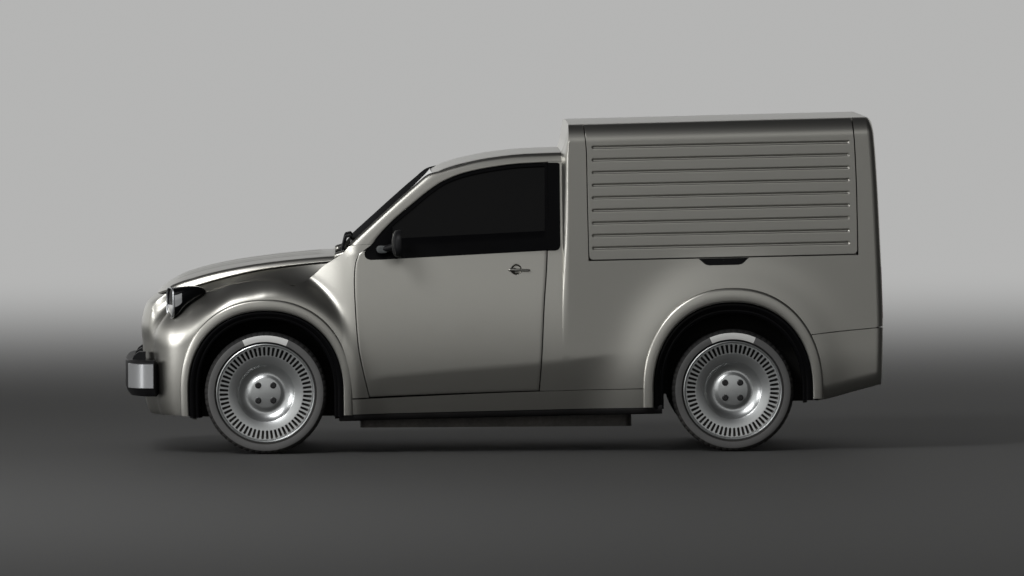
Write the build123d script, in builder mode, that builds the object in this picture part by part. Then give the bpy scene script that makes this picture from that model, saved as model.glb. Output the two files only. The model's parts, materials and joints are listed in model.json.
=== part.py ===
"""Small panel van: a two-door cab with pontoon front fenders and a taller cargo box with ribbed side hatches.

Frame: millimetres, the nose points to -X, the left side is -Y, +Z is up, the tyres stand on Z = 0, and the
origin is midway along and across the van.
"""

import os
from math import cos, radians, sin, sqrt

from build123d import *

os.makedirs("parts", exist_ok=True)

# ---------------------------------------------------------------- driving dimensions
wheelbase = 2540
front_overhang = 773
rear_overhang = 819
track = 1484
body_half_width = 865  # cargo box and the widest part of the doors
flare_stand = 28  # the arch flares stand out this far from the sides

tyre_radius = 332
tyre_width = 195
rim_radius = 268
rim_width = 178
slot_count = 70

sill_bottom = 222
sill_line = 318
belt_height = 1085
cab_height = 1630
box_front_height = 1782
box_rear_height = 1817
hood_height = 1075  # hood's rear edge at the centreline
cargo_floor_height = 480
bumper_line_front = 628
bumper_line_rear = 673

box_corner_radius = 37
box_roof_radius = 30
panel_gap = 6  # shut line between a moving panel and the body
glass_thickness = 6
cab_wall = 75
door_wall = 58
box_wall = 42
hatch_wall = 28
seal_gap = 0.3  # a closed door or lid stands this far off its seal
seal_width = 24
fender_wall = 24
running_clearance = 0.3


# ---------------------------------------------------------------- stations worked out from them
front_x = -(front_overhang + wheelbase + rear_overhang) / 2
rear_x = -front_x
front_axle_x = front_x + front_overhang
rear_axle_x = front_axle_x + wheelbase
wheel_y = track / 2
box_front_x = rear_axle_x - 894
cowl_x = front_axle_x + 388
screen_foot = (front_axle_x + 462, hood_height + 14)
screen_head = (front_axle_x + 901, cab_height - 119)
screen_slope = (screen_head[0] - screen_foot[0], screen_head[1] - screen_foot[1])
screen_length = sqrt(screen_slope[0] ** 2 + screen_slope[1] ** 2)
door_front_x = front_axle_x + 485
door_rear_x = box_front_x - 112
hatch_front_x = box_front_x + 96
hatch_rear_x = rear_x - 146
hatch_bottom = 1052
roof_seam_y = body_half_width - 78
door_inner_y = body_half_width - 240
front_arch_radius = 437
rear_arch_radius = 455
rear_arch_height = 350
arch_lip = 48
nose_x = front_x + 86
fender_top = 945
big = 3000  # longer than anything it has to cut


def box_roof_height(x):
    """Height of the cargo roof at station x; the roof rises evenly to the rear."""
    share = (x - box_front_x) / (rear_x - box_front_x)
    return box_front_height + share * (box_rear_height - box_front_height)


# ---------------------------------------------------------------- body forms
def side_form(inset):
    """Everything between the cab's two barrel-shaped sides, each side moved in by the inset."""
    with BuildPart() as form:
        with BuildSketch(Plane.YZ):
            with BuildLine():
                side = body_half_width - inset
                for hand in (-1, 1):
                    ThreePointArc(
                        (hand * (side - 30), sill_bottom - 50), (hand * side, 560), (hand * (side - 42), belt_height)
                    )
                    Line((hand * (side - 42), belt_height), (hand * (side - 205), cab_height + 100))
                Line((-side + 205, cab_height + 100), (side - 205, cab_height + 100))
                Line((-side + 30, sill_bottom - 50), (side - 30, sill_bottom - 50))
            make_face()
        extrude(amount=big, both=True)
    return form.part


def cab_form(inset):
    """Outer form of the cab, or the inside of its walls when an inset is given."""
    with BuildPart() as form:
        with BuildSketch(Plane.XZ):
            with BuildLine():
                Line((cowl_x, sill_bottom), (cowl_x, hood_height - 35))
                Line((cowl_x, hood_height - 35), screen_foot)
                Line(screen_foot, screen_head)
                ThreePointArc(screen_head, (front_axle_x + 1235, cab_height - 28), (box_front_x, cab_height))
                Line((box_front_x, cab_height), (box_front_x, sill_bottom))
                Line((box_front_x, sill_bottom), (cowl_x, sill_bottom))
            make_face()
            if inset:
                offset(amount=-inset, mode=Mode.REPLACE)
        extrude(amount=big, both=True)
        add(side_form(inset), mode=Mode.INTERSECT)
        if not inset:
            high_edges = form.edges().filter_by(lambda e: e.center().Z > cab_height - 130 and e.length > 400)
            fillet(high_edges.filter_by(lambda e: abs(e.center().Y) > 500), radius=70)
    return form.part


def box_form(inset):
    """Outer form of the cargo box, or the inside of its walls when an inset is given."""
    with BuildPart() as form:
        with BuildSketch(Plane.XZ):
            with BuildLine():
                Line((box_front_x, sill_bottom), (box_front_x, box_roof_height(box_front_x)))
                Line((box_front_x, box_roof_height(box_front_x)), (rear_x - 50, box_roof_height(rear_x - 50)))
                ThreePointArc((rear_x - 50, box_roof_height(rear_x - 50)), (rear_x - 16, 1250), (rear_x, 690))
                Line((rear_x, 690), (rear_x - 10, 365))
                Line((rear_x - 10, 365), (rear_axle_x + 400, sill_bottom + 40))
                Line((rear_axle_x + 400, sill_bottom + 40), (box_front_x, sill_bottom))
            make_face()
            if inset:
                offset(amount=-inset, mode=Mode.REPLACE)
        extrude(amount=body_half_width - inset, both=True)
        if not inset:
            fillet(
                form.edges().filter_by(Axis.Z).filter_by(lambda e: e.center().X < box_front_x + 1),
                radius=box_corner_radius,
            )
            roof_edges = form.edges().filter_by(lambda e: e.center().Z > box_front_height - 3)
            fillet(
                roof_edges.filter_by(lambda e: e.length > 10 and e.center().X < rear_x - 200),
                radius=box_roof_radius,
            )
    return form.part


def moved_inwards(points, inset):
    """The points of a top line that runs rearwards, each moved down or back along its own normal."""
    moved = []
    for i, (x, z) in enumerate(points):
        before = points[max(i - 1, 0)]
        after = points[min(i + 1, len(points) - 1)]
        run = (after[0] - before[0], after[1] - before[1])
        length = sqrt(run[0] ** 2 + run[1] ** 2)
        moved.append((x + inset * run[1] / length, z - inset * run[0] / length))
    return moved


def front_form(top_points, inset):
    """Body ahead of the cowl under a given top line: side view, rounded plan and barrel-shaped sides."""
    line = moved_inwards(top_points, inset)
    rear = cowl_x - inset
    line[0] = (nose_x + inset, line[0][1])
    line[-1] = (rear, line[-1][1])
    base = sill_bottom - 45 + inset
    with BuildPart() as form:
        with BuildSketch(Plane.XZ):
            with BuildLine():
                Spline(*line)
                Polyline(
                    line[-1], (rear, base), (nose_x + 60 + inset, base), (nose_x + inset, sill_bottom + 30), line[0]
                )
            make_face()
        extrude(amount=big, both=True)
        with BuildSketch(Plane.XY):
            with BuildLine():
                side = body_half_width - inset
                front = nose_x + inset
                corner_x = front + 75
                ThreePointArc((corner_x, -side), (front, 0), (corner_x, side))
                Polyline((corner_x, side), (rear, side), (rear, -side), (corner_x, -side))
            plan = make_face()
            fillet(plan.vertices().filter_by(lambda v: v.X < cowl_x - 500), radius=260 - inset)
        extrude(amount=big, both=True, mode=Mode.INTERSECT)
        with BuildSketch(Plane.YZ):
            with BuildLine():
                ThreePointArc((side - 30, 150), (side, 560), (side - 42, belt_height))
                Polyline(
                    (side - 42, belt_height),
                    (side - 42, belt_height + 100),
                    (-side + 42, belt_height + 100),
                    (-side + 42, belt_height),
                )
                ThreePointArc((-side + 42, belt_height), (-side, 560), (-side + 30, 150))
                Line((-side + 30, 150), (side - 30, 150))
            make_face()
        extrude(amount=big, both=True, mode=Mode.INTERSECT)
    return form.part


fender_line = [
    (nose_x, 620),
    (nose_x + 60, 760),
    (front_axle_x - 337, fender_top - 64),
    (front_axle_x - 25, fender_top),
    (front_axle_x + 150, fender_top - 25),
    (front_axle_x + 254, fender_top + 17),
    (front_axle_x + 335, belt_height - 52),
    (cowl_x, belt_height - 40),
]
hood_line = [
    (nose_x, 677),
    (nose_x + 32, 805),
    (nose_x + 105, 858),
    (nose_x + 268, 951),
    (nose_x + 465, 1004),
    (nose_x + 823, 1058),
    (cowl_x, hood_height - 6),
]

with BuildPart() as cab_skin:
    add(cab_form(0))
    add(cab_form(cab_wall), mode=Mode.SUBTRACT)

with BuildPart() as box_skin:
    add(box_form(0))
    add(box_form(box_wall), mode=Mode.SUBTRACT)

with BuildPart() as fender_skin:
    add(front_form(fender_line, 0))
    add(front_form(fender_line, fender_wall), mode=Mode.SUBTRACT)


# ---------------------------------------------------------------- cut lines in the side view
def door_outline(inset):
    """Cab door in the side view, its window frame included; an inset moves the line inwards all round."""
    front = door_front_x + inset
    rear = door_rear_x - inset
    low = sill_line + inset
    roof = cab_height - 55 - inset
    pillar = (inset * screen_slope[1] / screen_length, -inset * screen_slope[0] / screen_length)
    rise = 0.08  # the pillar line starts this share of the way up the screen
    pillar_foot = (
        screen_foot[0] + 36 + rise * screen_slope[0] + pillar[0],
        screen_foot[1] + rise * screen_slope[1] + pillar[1],
    )
    pillar_head = (screen_head[0] + 40 + pillar[0], screen_head[1] - 20 + pillar[1])
    with BuildSketch(Plane.XZ) as outline:
        with BuildLine():
            Spline(
                (front + 78, low - 14),
                (front + 19, 600),
                (front, 800),
                (front + 2, 980),
                (front + 30, belt_height - inset),
            )
            Polyline((front + 30, belt_height - inset), pillar_foot, pillar_head)
            ThreePointArc(pillar_head, (front_axle_x + 1235, roof - 17), (rear + 28, roof))
            Spline((rear + 28, roof), (rear, belt_height), (rear - 18, 820), (rear - 48, low + 18))
            Line((rear - 48, low + 18), (front + 78, low - 14))
        make_face()
    return outline.sketch


def window_outline():
    """Daylight opening of the door glass, which starts behind the mirror's sail panel."""
    foot_x = door_front_x + 190
    foot_rise = (foot_x - screen_foot[0]) * screen_slope[1] / screen_slope[0]
    front_edge = screen_foot[1] + foot_rise - 84 - 1056
    with BuildSketch(Plane.XZ) as outline:
        with BuildLine():
            Line((foot_x, 1056), (door_rear_x - 4, 1086))
            Line((door_rear_x - 4, 1086), (door_rear_x + 14, cab_height - 98))
            ThreePointArc(
                (door_rear_x + 14, cab_height - 98),
                (front_axle_x + 1180, cab_height - 118),
                (screen_head[0] + 66, screen_head[1] - 48),
            )
            Line((screen_head[0] + 66, screen_head[1] - 48), (foot_x, 1056 + front_edge))
            Line((foot_x, 1056 + front_edge), (foot_x, 1056))
        opening = make_face()
        fillet(opening.vertices(), radius=min(18, front_edge / 4))
    return outline.sketch


def hatch_outline(inset):
    """Side hatch in the side view; it runs up over the edge of the roof."""
    front = hatch_front_x + inset
    rear = hatch_rear_x - inset
    low = hatch_bottom + inset
    with BuildSketch(Plane.XZ) as outline:
        with BuildLine():
            Polyline(
                (front - 14, box_rear_height + 80),
                (front + 12, 1400),
                (front + 20, low - 6),
                (rear, low + 16),
                (rear + 4, 1400),
                (rear - 22, box_rear_height + 80),
                close=True,
            )
        panel = make_face()
        low_corners = panel.vertices().sort_by(Axis.Y)[:2]
        fillet(low_corners, radius=22)
    return outline.sketch


def side_cut(sketch, inner_y, reach=600):
    """The volume that a side-view outline sweeps out to the left, starting inner_y from the centreline."""
    with BuildPart() as volume:
        extrude(Pos(0, -inner_y, 0) * sketch, amount=reach)
    return volume.part


def arch_disc(axle_x, axle_z, radius, inner_y, outer_y):
    """A left-hand disc on a wheel's axis, used to cut or fill an arch."""
    with BuildPart() as disc:
        with BuildSketch(Plane.XZ.offset(inner_y)):
            with Locations((axle_x, axle_z)):
                Circle(radius)
        extrude(amount=outer_y - inner_y)
    return disc.part


def arch_flare(axle_x, axle_z, radius, floor_z):
    """Left-hand flare: a ring that stands out round the arch and tapers back into the side."""
    with BuildPart() as flare:
        with BuildSketch(Plane.XZ.offset(body_half_width - 26)):
            with Locations((axle_x, axle_z)):
                Circle(radius + 63)
        extrude(amount=26 + flare_stand, taper=24)
        add(arch_disc(axle_x, axle_z, radius, 0, big), mode=Mode.SUBTRACT)
        with BuildSketch(Plane.XY.offset(floor_z)):
            Rectangle(2 * big, 2 * big)
        extrude(amount=-big, mode=Mode.SUBTRACT)
    return flare.part


# ---------------------------------------------------------------- cab

def screen_opening():
    """Windscreen opening: a trapezoid square to the sloping screen, narrower at the roof."""
    screen_plane = Plane(
        origin=(screen_foot[0], 0, screen_foot[1]), x_dir=(0, 1, 0), z_dir=(-screen_slope[1], 0, screen_slope[0])
    )
    low = -34
    high = 26 - screen_length
    wide = body_half_width - 120
    narrow = body_half_width - 212
    with BuildPart() as opening:
        with BuildSketch(screen_plane):
            with BuildLine():
                Polyline((-wide, low), (-narrow, high), (narrow, high), (wide, low), close=True)
            make_face()
        extrude(amount=120, both=True)
    return opening.part


with BuildPart() as roof_zone:
    with BuildSketch(Plane.XZ):
        with BuildLine():
            Line((screen_head[0] + 36, screen_head[1] - 120), (screen_head[0] + 36, cab_height + 50))
            Line((screen_head[0] + 36, cab_height + 50), (box_front_x, cab_height + 50))
            Line((box_front_x, cab_height + 50), (box_front_x, cab_height - cab_wall))
            ThreePointArc(
                (box_front_x, cab_height - cab_wall),
                (front_axle_x + 1235, cab_height - 86),
                (screen_head[0] + 36, screen_head[1] - 120),
            )
        make_face()
    extrude(amount=body_half_width - 245, both=True)

with BuildPart() as rear_cab_cut:
    with BuildSketch(Plane.YZ.offset(box_front_x - cab_wall - 1)):
        with Locations((0, 960)):
            Rectangle(1300, 1160)
    extrude(amount=cab_wall + 2)

with BuildPart() as door_rebate:
    add(side_cut(door_outline(0), door_inner_y))
    add(side_form(door_wall + seal_gap), mode=Mode.SUBTRACT)

door_throat = side_cut(door_outline(seal_width), door_inner_y)
front_wheel_cut = arch_disc(front_axle_x, tyre_radius, front_arch_radius, 440, big)
front_flare_seat = arch_disc(front_axle_x, tyre_radius, front_arch_radius + 63, body_half_width - 26, big)

with BuildPart() as cab_shell:
    add(cab_skin.part)
    for hand_plane in (Plane.XY, Plane.XZ):
        for cut in (door_rebate.part, door_throat, front_wheel_cut, front_flare_seat):
            hand_cut = cut if hand_plane == Plane.XY else mirror(cut, about=Plane.XZ, mode=Mode.PRIVATE)
            add(hand_cut, mode=Mode.SUBTRACT)
    add(screen_opening(), mode=Mode.SUBTRACT)
    add(roof_zone.part, mode=Mode.SUBTRACT)
    add(rear_cab_cut.part, mode=Mode.SUBTRACT)
cab_shell.part.label = "cab_shell"
export_step(cab_shell.part, "parts/cab_shell.step")

with BuildPart() as cab_roof:
    add(cab_skin.part)
    add(roof_zone.part, mode=Mode.INTERSECT)
cab_roof.part.label = "cab_roof"
export_step(cab_roof.part, "parts/cab_roof.step")

with BuildPart() as windshield:
    add(cab_form(0))
    add(cab_form(glass_thickness), mode=Mode.SUBTRACT)
    add(screen_opening(), mode=Mode.INTERSECT)
windshield.part.label = "windshield"
export_step(windshield.part, "parts/windshield.step")

# ---------------------------------------------------------------- doors
handle_x = door_rear_x - 175
handle_z = belt_height - 95

with BuildPart() as door_left:
    add(cab_form(0))
    add(side_form(door_wall), mode=Mode.SUBTRACT)
    add(side_cut(door_outline(panel_gap), door_inner_y + panel_gap), mode=Mode.INTERSECT)
    add(side_cut(window_outline(), door_inner_y), mode=Mode.SUBTRACT)
    with BuildSketch(Plane.XZ.offset(body_half_width - 52)):
        with Locations((handle_x + 5, handle_z)):
            Circle(27)
    extrude(amount=100, mode=Mode.SUBTRACT)
    with BuildSketch(Plane.XZ.offset(body_half_width - 54)):
        with Locations((handle_x, handle_z)):
            RectangleRounded(170, 26, 12)
    extrude(amount=40)
door_left.part.label = "door_left"
export_step(door_left.part, "parts/door_left.step")

glass_depth = 14  # the glass sits this far inside the door's outer face

with BuildPart() as window_left:
    add(side_form(glass_depth))
    add(side_form(glass_depth + glass_thickness), mode=Mode.SUBTRACT)
    add(side_cut(window_outline(), door_inner_y), mode=Mode.INTERSECT)
window_left.part.label = "window_left"
export_step(window_left.part, "parts/window_left.step")

mirror_x = door_front_x + 232
mirror_arm_z = 1087

with BuildPart() as mirror_left:
    with BuildSketch(Plane.XY.offset(1072)):
        with Locations((mirror_x, -body_half_width - 118)):
            mirror_plan = RectangleRounded(74, 190, 30)
    extrude(amount=152)
    chamfer(mirror_left.edges().group_by(Axis.Z)[0] + mirror_left.edges().group_by(Axis.Z)[-1], length=12)
    with BuildSketch(Plane.XY.offset(mirror_arm_z)):
        with BuildLine():
            Polyline(
                (mirror_x - 112, -body_half_width + 70),
                (mirror_x - 112, -body_half_width - 40),
                (mirror_x - 90, -body_half_width - 62),
                (mirror_x, -body_half_width - 62),
                (mirror_x, -body_half_width - 30),
                (mirror_x - 46, -body_half_width - 20),
                (mirror_x - 46, -body_half_width + 70),
                close=True,
            )
        make_face()
    extrude(amount=38)
    add(door_left.part, mode=Mode.SUBTRACT)
mirror_left.part.label = "mirror_left"
export_step(mirror_left.part, "parts/mirror_left.step")

for hand_part, name in ((door_left, "door_right"), (window_left, "window_right"), (mirror_left, "mirror_right")):
    with BuildPart() as other_hand:
        mirror(hand_part.part, about=Plane.XZ)
    other_hand.part.label = name
    export_step(other_hand.part, f"parts/{name}.step")

# ---------------------------------------------------------------- front body
hood_rear_half = 640
hood_front_half = 560
hood_front_edge_z = 852

with BuildPart() as hood_zone:
    with BuildSketch(Plane.XY.offset(700)):
        with BuildLine():
            Polyline(
                (nose_x - 60, -hood_front_half),
                (cowl_x - panel_gap, -hood_rear_half),
                (cowl_x - panel_gap, hood_rear_half),
                (nose_x - 60, hood_front_half),
                close=True,
            )
        make_face()
    extrude(amount=500)

with BuildPart() as hood_block:
    add(front_form(hood_line, 0))
    add(hood_zone.part, mode=Mode.INTERSECT)
    with BuildSketch(Plane.YZ.offset(front_x)):
        with BuildLine():
            ThreePointArc((-720, hood_height - 60), (0, hood_height), (720, hood_height - 60))
            Polyline((720, hood_height - 60), (720, 300), (-720, 300), (-720, hood_height - 60))
        make_face()
    extrude(amount=big, mode=Mode.INTERSECT)
    with BuildSketch(Plane.XZ):
        with BuildLine():
            Polyline(
                (nose_x - 60, hood_front_edge_z),
                (nose_x + 130, hood_front_edge_z),
                (nose_x + 300, 905),
                (front_axle_x - 25, 946),
                (cowl_x, 985),
                (cowl_x, 300),
                (nose_x - 60, 300),
                close=True,
            )
        make_face()
    extrude(amount=big, both=True, mode=Mode.SUBTRACT)

with BuildPart() as hood:
    add(hood_block.part)
    with BuildSketch(Plane.XZ):
        with BuildLine():
            Polyline(
                (nose_x + 140, 700),
                (nose_x + 140, 858),
                (nose_x + 290, 925),
                (nose_x + 480, 975),
                (cowl_x - 40, hood_height - 62),
                (cowl_x - 40, 700),
                close=True,
            )
        make_face()
    extrude(amount=hood_front_half - 35, both=True, mode=Mode.SUBTRACT)
hood.part.label = "hood"
export_step(hood.part, "parts/hood.step")

headlamp_x = nose_x + 148
headlamp_y = body_half_width - 165
headlamp_z = 819
headlamp_radius = 79

with BuildPart() as lamp_pod:
    with BuildSketch(Plane.YZ.offset(headlamp_x)):
        with Locations((-headlamp_y, headlamp_z)):
            Circle(headlamp_radius + seal_gap)
    extrude(amount=205)

with BuildPart() as headlamps:
    for hand in (-1, 1):
        with BuildSketch(Plane.YZ.offset(headlamp_x)):
            with Locations((hand * headlamp_y, headlamp_z)):
                Circle(headlamp_radius)
        extrude(amount=50)
        with BuildSketch(Plane.YZ.offset(headlamp_x + 50)) as pod_front:
            with Locations((hand * headlamp_y, headlamp_z)):
                Circle(headlamp_radius)
        with BuildSketch(Plane.YZ.offset(headlamp_x + 150)) as pod_rear:
            with Locations((hand * headlamp_y, headlamp_z + 8)):
                Circle(headlamp_radius - 34)
        loft([pod_front.sketch, pod_rear.sketch])
headlamps.part.label = "headlamps"
export_step(headlamps.part, "parts/headlamps.step")

front_liner_wall = 8

with BuildPart() as front_fender_left:
    add(fender_skin.part)
    with BuildSketch(Plane.XY):
        with BuildLine():
            Polyline(
                (nose_x - 100, -hood_front_half - panel_gap),
                (cowl_x, -hood_rear_half - panel_gap),
                (cowl_x, -big),
                (nose_x - 100, -big),
                close=True,
            )
        make_face()
    extrude(amount=2000, mode=Mode.INTERSECT)
    add(arch_flare(front_axle_x, tyre_radius, front_arch_radius, sill_bottom - 15))
    add(arch_disc(front_axle_x, tyre_radius, front_arch_radius, 300, big), mode=Mode.SUBTRACT)
    add(lamp_pod.part, mode=Mode.SUBTRACT)
front_fender_left.part.label = "front_fender_left"
export_step(front_fender_left.part, "parts/front_fender_left.step")

with BuildPart() as front_fender_right:
    mirror(front_fender_left.part, about=Plane.XZ)
front_fender_right.part.label = "front_fender_right"
export_step(front_fender_right.part, "parts/front_fender_right.step")

with BuildPart() as nose_panel:
    add(front_form(hood_line, 0))
    add(front_form(hood_line, fender_wall), mode=Mode.SUBTRACT)
    with BuildSketch(Plane.XY):
        with Locations((nose_x + 110, 0)):
            Rectangle(300, 2 * hood_front_half)
    extrude(amount=hood_front_edge_z - panel_gap, mode=Mode.INTERSECT)
    with BuildSketch(Plane.XY.offset(hood_front_edge_z - panel_gap - 20)):
        with Locations((nose_x + 118, -400), (nose_x + 118, 400)):
            Circle(14)
    extrude(amount=20 + panel_gap - seal_gap)
nose_panel.part.label = "nose_panel"
export_step(nose_panel.part, "parts/nose_panel.step")

bumper_low = 345
bumper_high = 478

with BuildPart() as bumper_band:
    with BuildSketch(Plane.XY.offset(bumper_low - 20)):
        with BuildLine():
            ThreePointArc((front_x + 70, -body_half_width - 8), (front_x, 0), (front_x + 70, body_half_width + 8))
            Polyline(
                (front_x + 70, body_half_width + 8),
                (front_x + 400, body_half_width + 8),
                (front_x + 400, -body_half_width - 8),
                (front_x + 70, -body_half_width - 8),
            )
        band = make_face()
        fillet(band.vertices().filter_by(lambda v: v.X < front_x + 100), radius=210)
    extrude(amount=bumper_high - bumper_low + 40)
    with BuildSketch(Plane.YZ.offset(front_x + 190)):
        Rectangle(big, big)
    extrude(amount=big, mode=Mode.SUBTRACT)

with BuildPart() as bumper_core:
    add(front_form(hood_line, -seal_gap))

with BuildPart() as front_bumper:
    add(bumper_band.part)
    add(bumper_core.part, mode=Mode.SUBTRACT)
front_bumper.part.label = "front_bumper"
export_step(front_bumper.part, "parts/front_bumper.step")

# ---------------------------------------------------------------- cargo box
rear_door_top = 1738
rear_door_half = body_half_width - 70
wheelhouse_inner_y = 560


def box_side_zone():
    """Left-hand zone of the box skin: the side wall and its strip of the roof."""
    with BuildPart() as zone:
        with BuildSketch(Plane.XY):
            with Locations((box_front_x + box_wall + big / 2, -roof_seam_y - big / 2)):
                Rectangle(big, big)
        extrude(amount=big)
    return zone.part


with BuildPart() as below_bumper_line:
    with BuildSketch(Plane.XZ):
        with BuildLine():
            Polyline(
                (rear_axle_x + 300, bumper_line_front - 4),
                (rear_x + 20, bumper_line_rear),
                (rear_x + 20, 0),
                (rear_axle_x + 300, 0),
                close=True,
            )
        make_face()
    extrude(amount=big, both=True)

rear_door_low = bumper_line_rear + 18
rear_door_wall = 28


def rear_door_opening(inset, from_y=-big, to_y=big):
    """Rear door opening, or the part of it between two planes when they are given."""
    with BuildPart() as zone:
        with BuildSketch(Plane.YZ.offset(rear_x - 120)):
            with Locations((0, (rear_door_low + rear_door_top) / 2)):
                RectangleRounded(
                    2 * (rear_door_half - inset), rear_door_top - rear_door_low - 2 * inset, 40 - inset
                )
            with Locations(((from_y + to_y) / 2, 0)):
                Rectangle(to_y - from_y, 2 * big, mode=Mode.INTERSECT)
        extrude(amount=300)
    return zone.part


tail_lamp_low = 720
tail_lamp_high = 1010
tail_lamp_depth = 18

with BuildPart() as tail_lamp_zone:
    for hand in (-1, 1):
        with BuildSketch(Plane.YZ.offset(rear_x - tail_lamp_depth)):
            with Locations((hand * (rear_door_half + 36), (tail_lamp_low + tail_lamp_high) / 2)):
                RectangleRounded(46, tail_lamp_high - tail_lamp_low, 18)
        extrude(amount=100)

with BuildPart() as rear_door_rebate:
    add(rear_door_opening(0))
    add(box_form(rear_door_wall + seal_gap), mode=Mode.SUBTRACT)

with BuildPart() as hatch_rebate:
    add(side_cut(hatch_outline(0), roof_seam_y - 1))
    add(box_form(hatch_wall + seal_gap), mode=Mode.SUBTRACT)

with BuildPart() as cargo_side_left:
    add(box_skin.part)
    add(box_side_zone(), mode=Mode.INTERSECT)
    add(hatch_rebate.part, mode=Mode.SUBTRACT)
    add(side_cut(hatch_outline(seal_width), roof_seam_y - 1), mode=Mode.SUBTRACT)
    add(below_bumper_line.part, mode=Mode.SUBTRACT)
    add(rear_door_rebate.part, mode=Mode.SUBTRACT)
    add(rear_door_opening(seal_width), mode=Mode.SUBTRACT)
    add(arch_flare(rear_axle_x, rear_arch_height, rear_arch_radius, sill_bottom + 5))
    add(below_bumper_line.part, mode=Mode.SUBTRACT)
    add(arch_disc(rear_axle_x, rear_arch_height, rear_arch_radius, 300, big), mode=Mode.SUBTRACT)
    add(tail_lamp_zone.part, mode=Mode.SUBTRACT)
cargo_side_left.part.label = "cargo_side_left"
export_step(cargo_side_left.part, "parts/cargo_side_left.step")

with BuildPart() as cargo_side_right:
    mirror(cargo_side_left.part, about=Plane.XZ)
cargo_side_right.part.label = "cargo_side_right"
export_step(cargo_side_right.part, "parts/cargo_side_right.step")

with BuildPart() as bulkhead:
    add(box_form(0))
    with BuildSketch(Plane.YZ.offset(box_front_x - 10)):
        Rectangle(3 * big, 3 * big)
    extrude(amount=10 + box_wall, mode=Mode.INTERSECT)
bulkhead.part.label = "bulkhead"
export_step(bulkhead.part, "parts/bulkhead.step")

with BuildPart() as cargo_roof:
    add(box_skin.part)
    with BuildSketch(Plane.XY.offset(box_front_height - 200)):
        with Locations((box_front_x + box_wall + big / 2, 0)):
            Rectangle(big, 2 * roof_seam_y)
    extrude(amount=400, mode=Mode.INTERSECT)
    add(rear_door_rebate.part, mode=Mode.SUBTRACT)
    add(rear_door_opening(seal_width), mode=Mode.SUBTRACT)
cargo_roof.part.label = "cargo_roof"
export_step(cargo_roof.part, "parts/cargo_roof.step")

with BuildPart() as rear_bumper:
    add(box_skin.part)
    add(below_bumper_line.part, mode=Mode.INTERSECT)
    add(arch_disc(rear_axle_x, rear_arch_height, rear_arch_radius, 0, big), mode=Mode.SUBTRACT)
    add(
        mirror(arch_disc(rear_axle_x, rear_arch_height, rear_arch_radius, 0, big), about=Plane.XZ, mode=Mode.PRIVATE),
        mode=Mode.SUBTRACT,
    )
    with BuildSketch(Plane.XY.offset(cargo_floor_height - 40)):
        with Locations((rear_axle_x, 0)):
            Rectangle(2 * (rear_x - box_wall - rear_axle_x), 2 * (body_half_width - box_wall))
    extrude(amount=300, mode=Mode.SUBTRACT)
rear_bumper.part.label = "rear_bumper"
export_step(rear_bumper.part, "parts/rear_bumper.step")

with BuildPart() as cargo_floor:
    with BuildSketch(Plane.XY.offset(cargo_floor_height - 30)):
        with Locations(((box_front_x + box_wall + rear_x - box_wall - 6) / 2, 0)):
            Rectangle(rear_x - box_front_x - 2 * box_wall - 6, 2 * (body_half_width - box_wall))
    extrude(amount=30)
    for hand in (-1, 1):
        with BuildSketch(Plane.XZ.offset(hand * wheelhouse_inner_y)):
            with Locations((rear_axle_x, rear_arch_height)):
                Circle(rear_arch_radius - 12)
        extrude(amount=hand * (body_half_width - box_wall - wheelhouse_inner_y))
    with BuildSketch(Plane.XY.offset(cargo_floor_height - 30)):
        Rectangle(2 * big, 2 * big)
    extrude(amount=-big, mode=Mode.SUBTRACT)
    for hand in (-1, 1):
        with BuildSketch(Plane.XZ.offset(hand * (wheelhouse_inner_y + 12))):
            with Locations((rear_axle_x, rear_arch_height)):
                Circle(rear_arch_radius - 24)
        extrude(amount=hand * (body_half_width - wheelhouse_inner_y), mode=Mode.SUBTRACT)
cargo_floor.part.label = "cargo_floor"
export_step(cargo_floor.part, "parts/cargo_floor.step")

# ---------------------------------------------------------------- side hatches
rib_count = 9
rib_pitch = 68.6
rib_first_z = 1112
rib_height = 22
rib_depth = 9
rib_front_x = hatch_front_x + 40
rib_rear_x = hatch_rear_x - 30

with BuildPart() as hatch_left:
    add(box_form(0))
    add(box_form(hatch_wall), mode=Mode.SUBTRACT)
    add(side_cut(hatch_outline(panel_gap), roof_seam_y + panel_gap), mode=Mode.INTERSECT)
    for i in range(rib_count):
        with BuildSketch(Plane.XZ.offset(body_half_width - rib_depth)):
            z = rib_first_z + i * rib_pitch
            with BuildLine():
                Polyline(
                    (rib_front_x, z),
                    (rib_rear_x, z + rib_height + 4),
                    (rib_rear_x, z + rib_height + 12),
                    (rib_front_x, z + rib_height),
                    close=True,
                )
            make_face()
        extrude(amount=rib_depth + 1, mode=Mode.SUBTRACT)
    with BuildSketch(Plane.XZ.offset(body_half_width - 20)):
        with Locations(((hatch_front_x + hatch_rear_x) / 2 + 10, hatch_bottom + 24)):
            RectangleRounded(250, 34, 15)
    extrude(amount=30, mode=Mode.SUBTRACT)
hatch_left.part.label = "hatch_left"
export_step(hatch_left.part, "parts/hatch_left.step")

with BuildPart() as hatch_right:
    mirror(hatch_left.part, about=Plane.XZ)
hatch_right.part.label = "hatch_right"
export_step(hatch_right.part, "parts/hatch_right.step")

# ---------------------------------------------------------------- rear doors and lamps
with BuildPart() as rear_door_left:
    add(box_form(0))
    add(box_form(rear_door_wall), mode=Mode.SUBTRACT)
    add(rear_door_opening(panel_gap, -big, -panel_gap / 2), mode=Mode.INTERSECT)
rear_door_left.part.label = "rear_door_left"
export_step(rear_door_left.part, "parts/rear_door_left.step")

with BuildPart() as rear_door_right:
    mirror(rear_door_left.part, about=Plane.XZ)
rear_door_right.part.label = "rear_door_right"
export_step(rear_door_right.part, "parts/rear_door_right.step")

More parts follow.
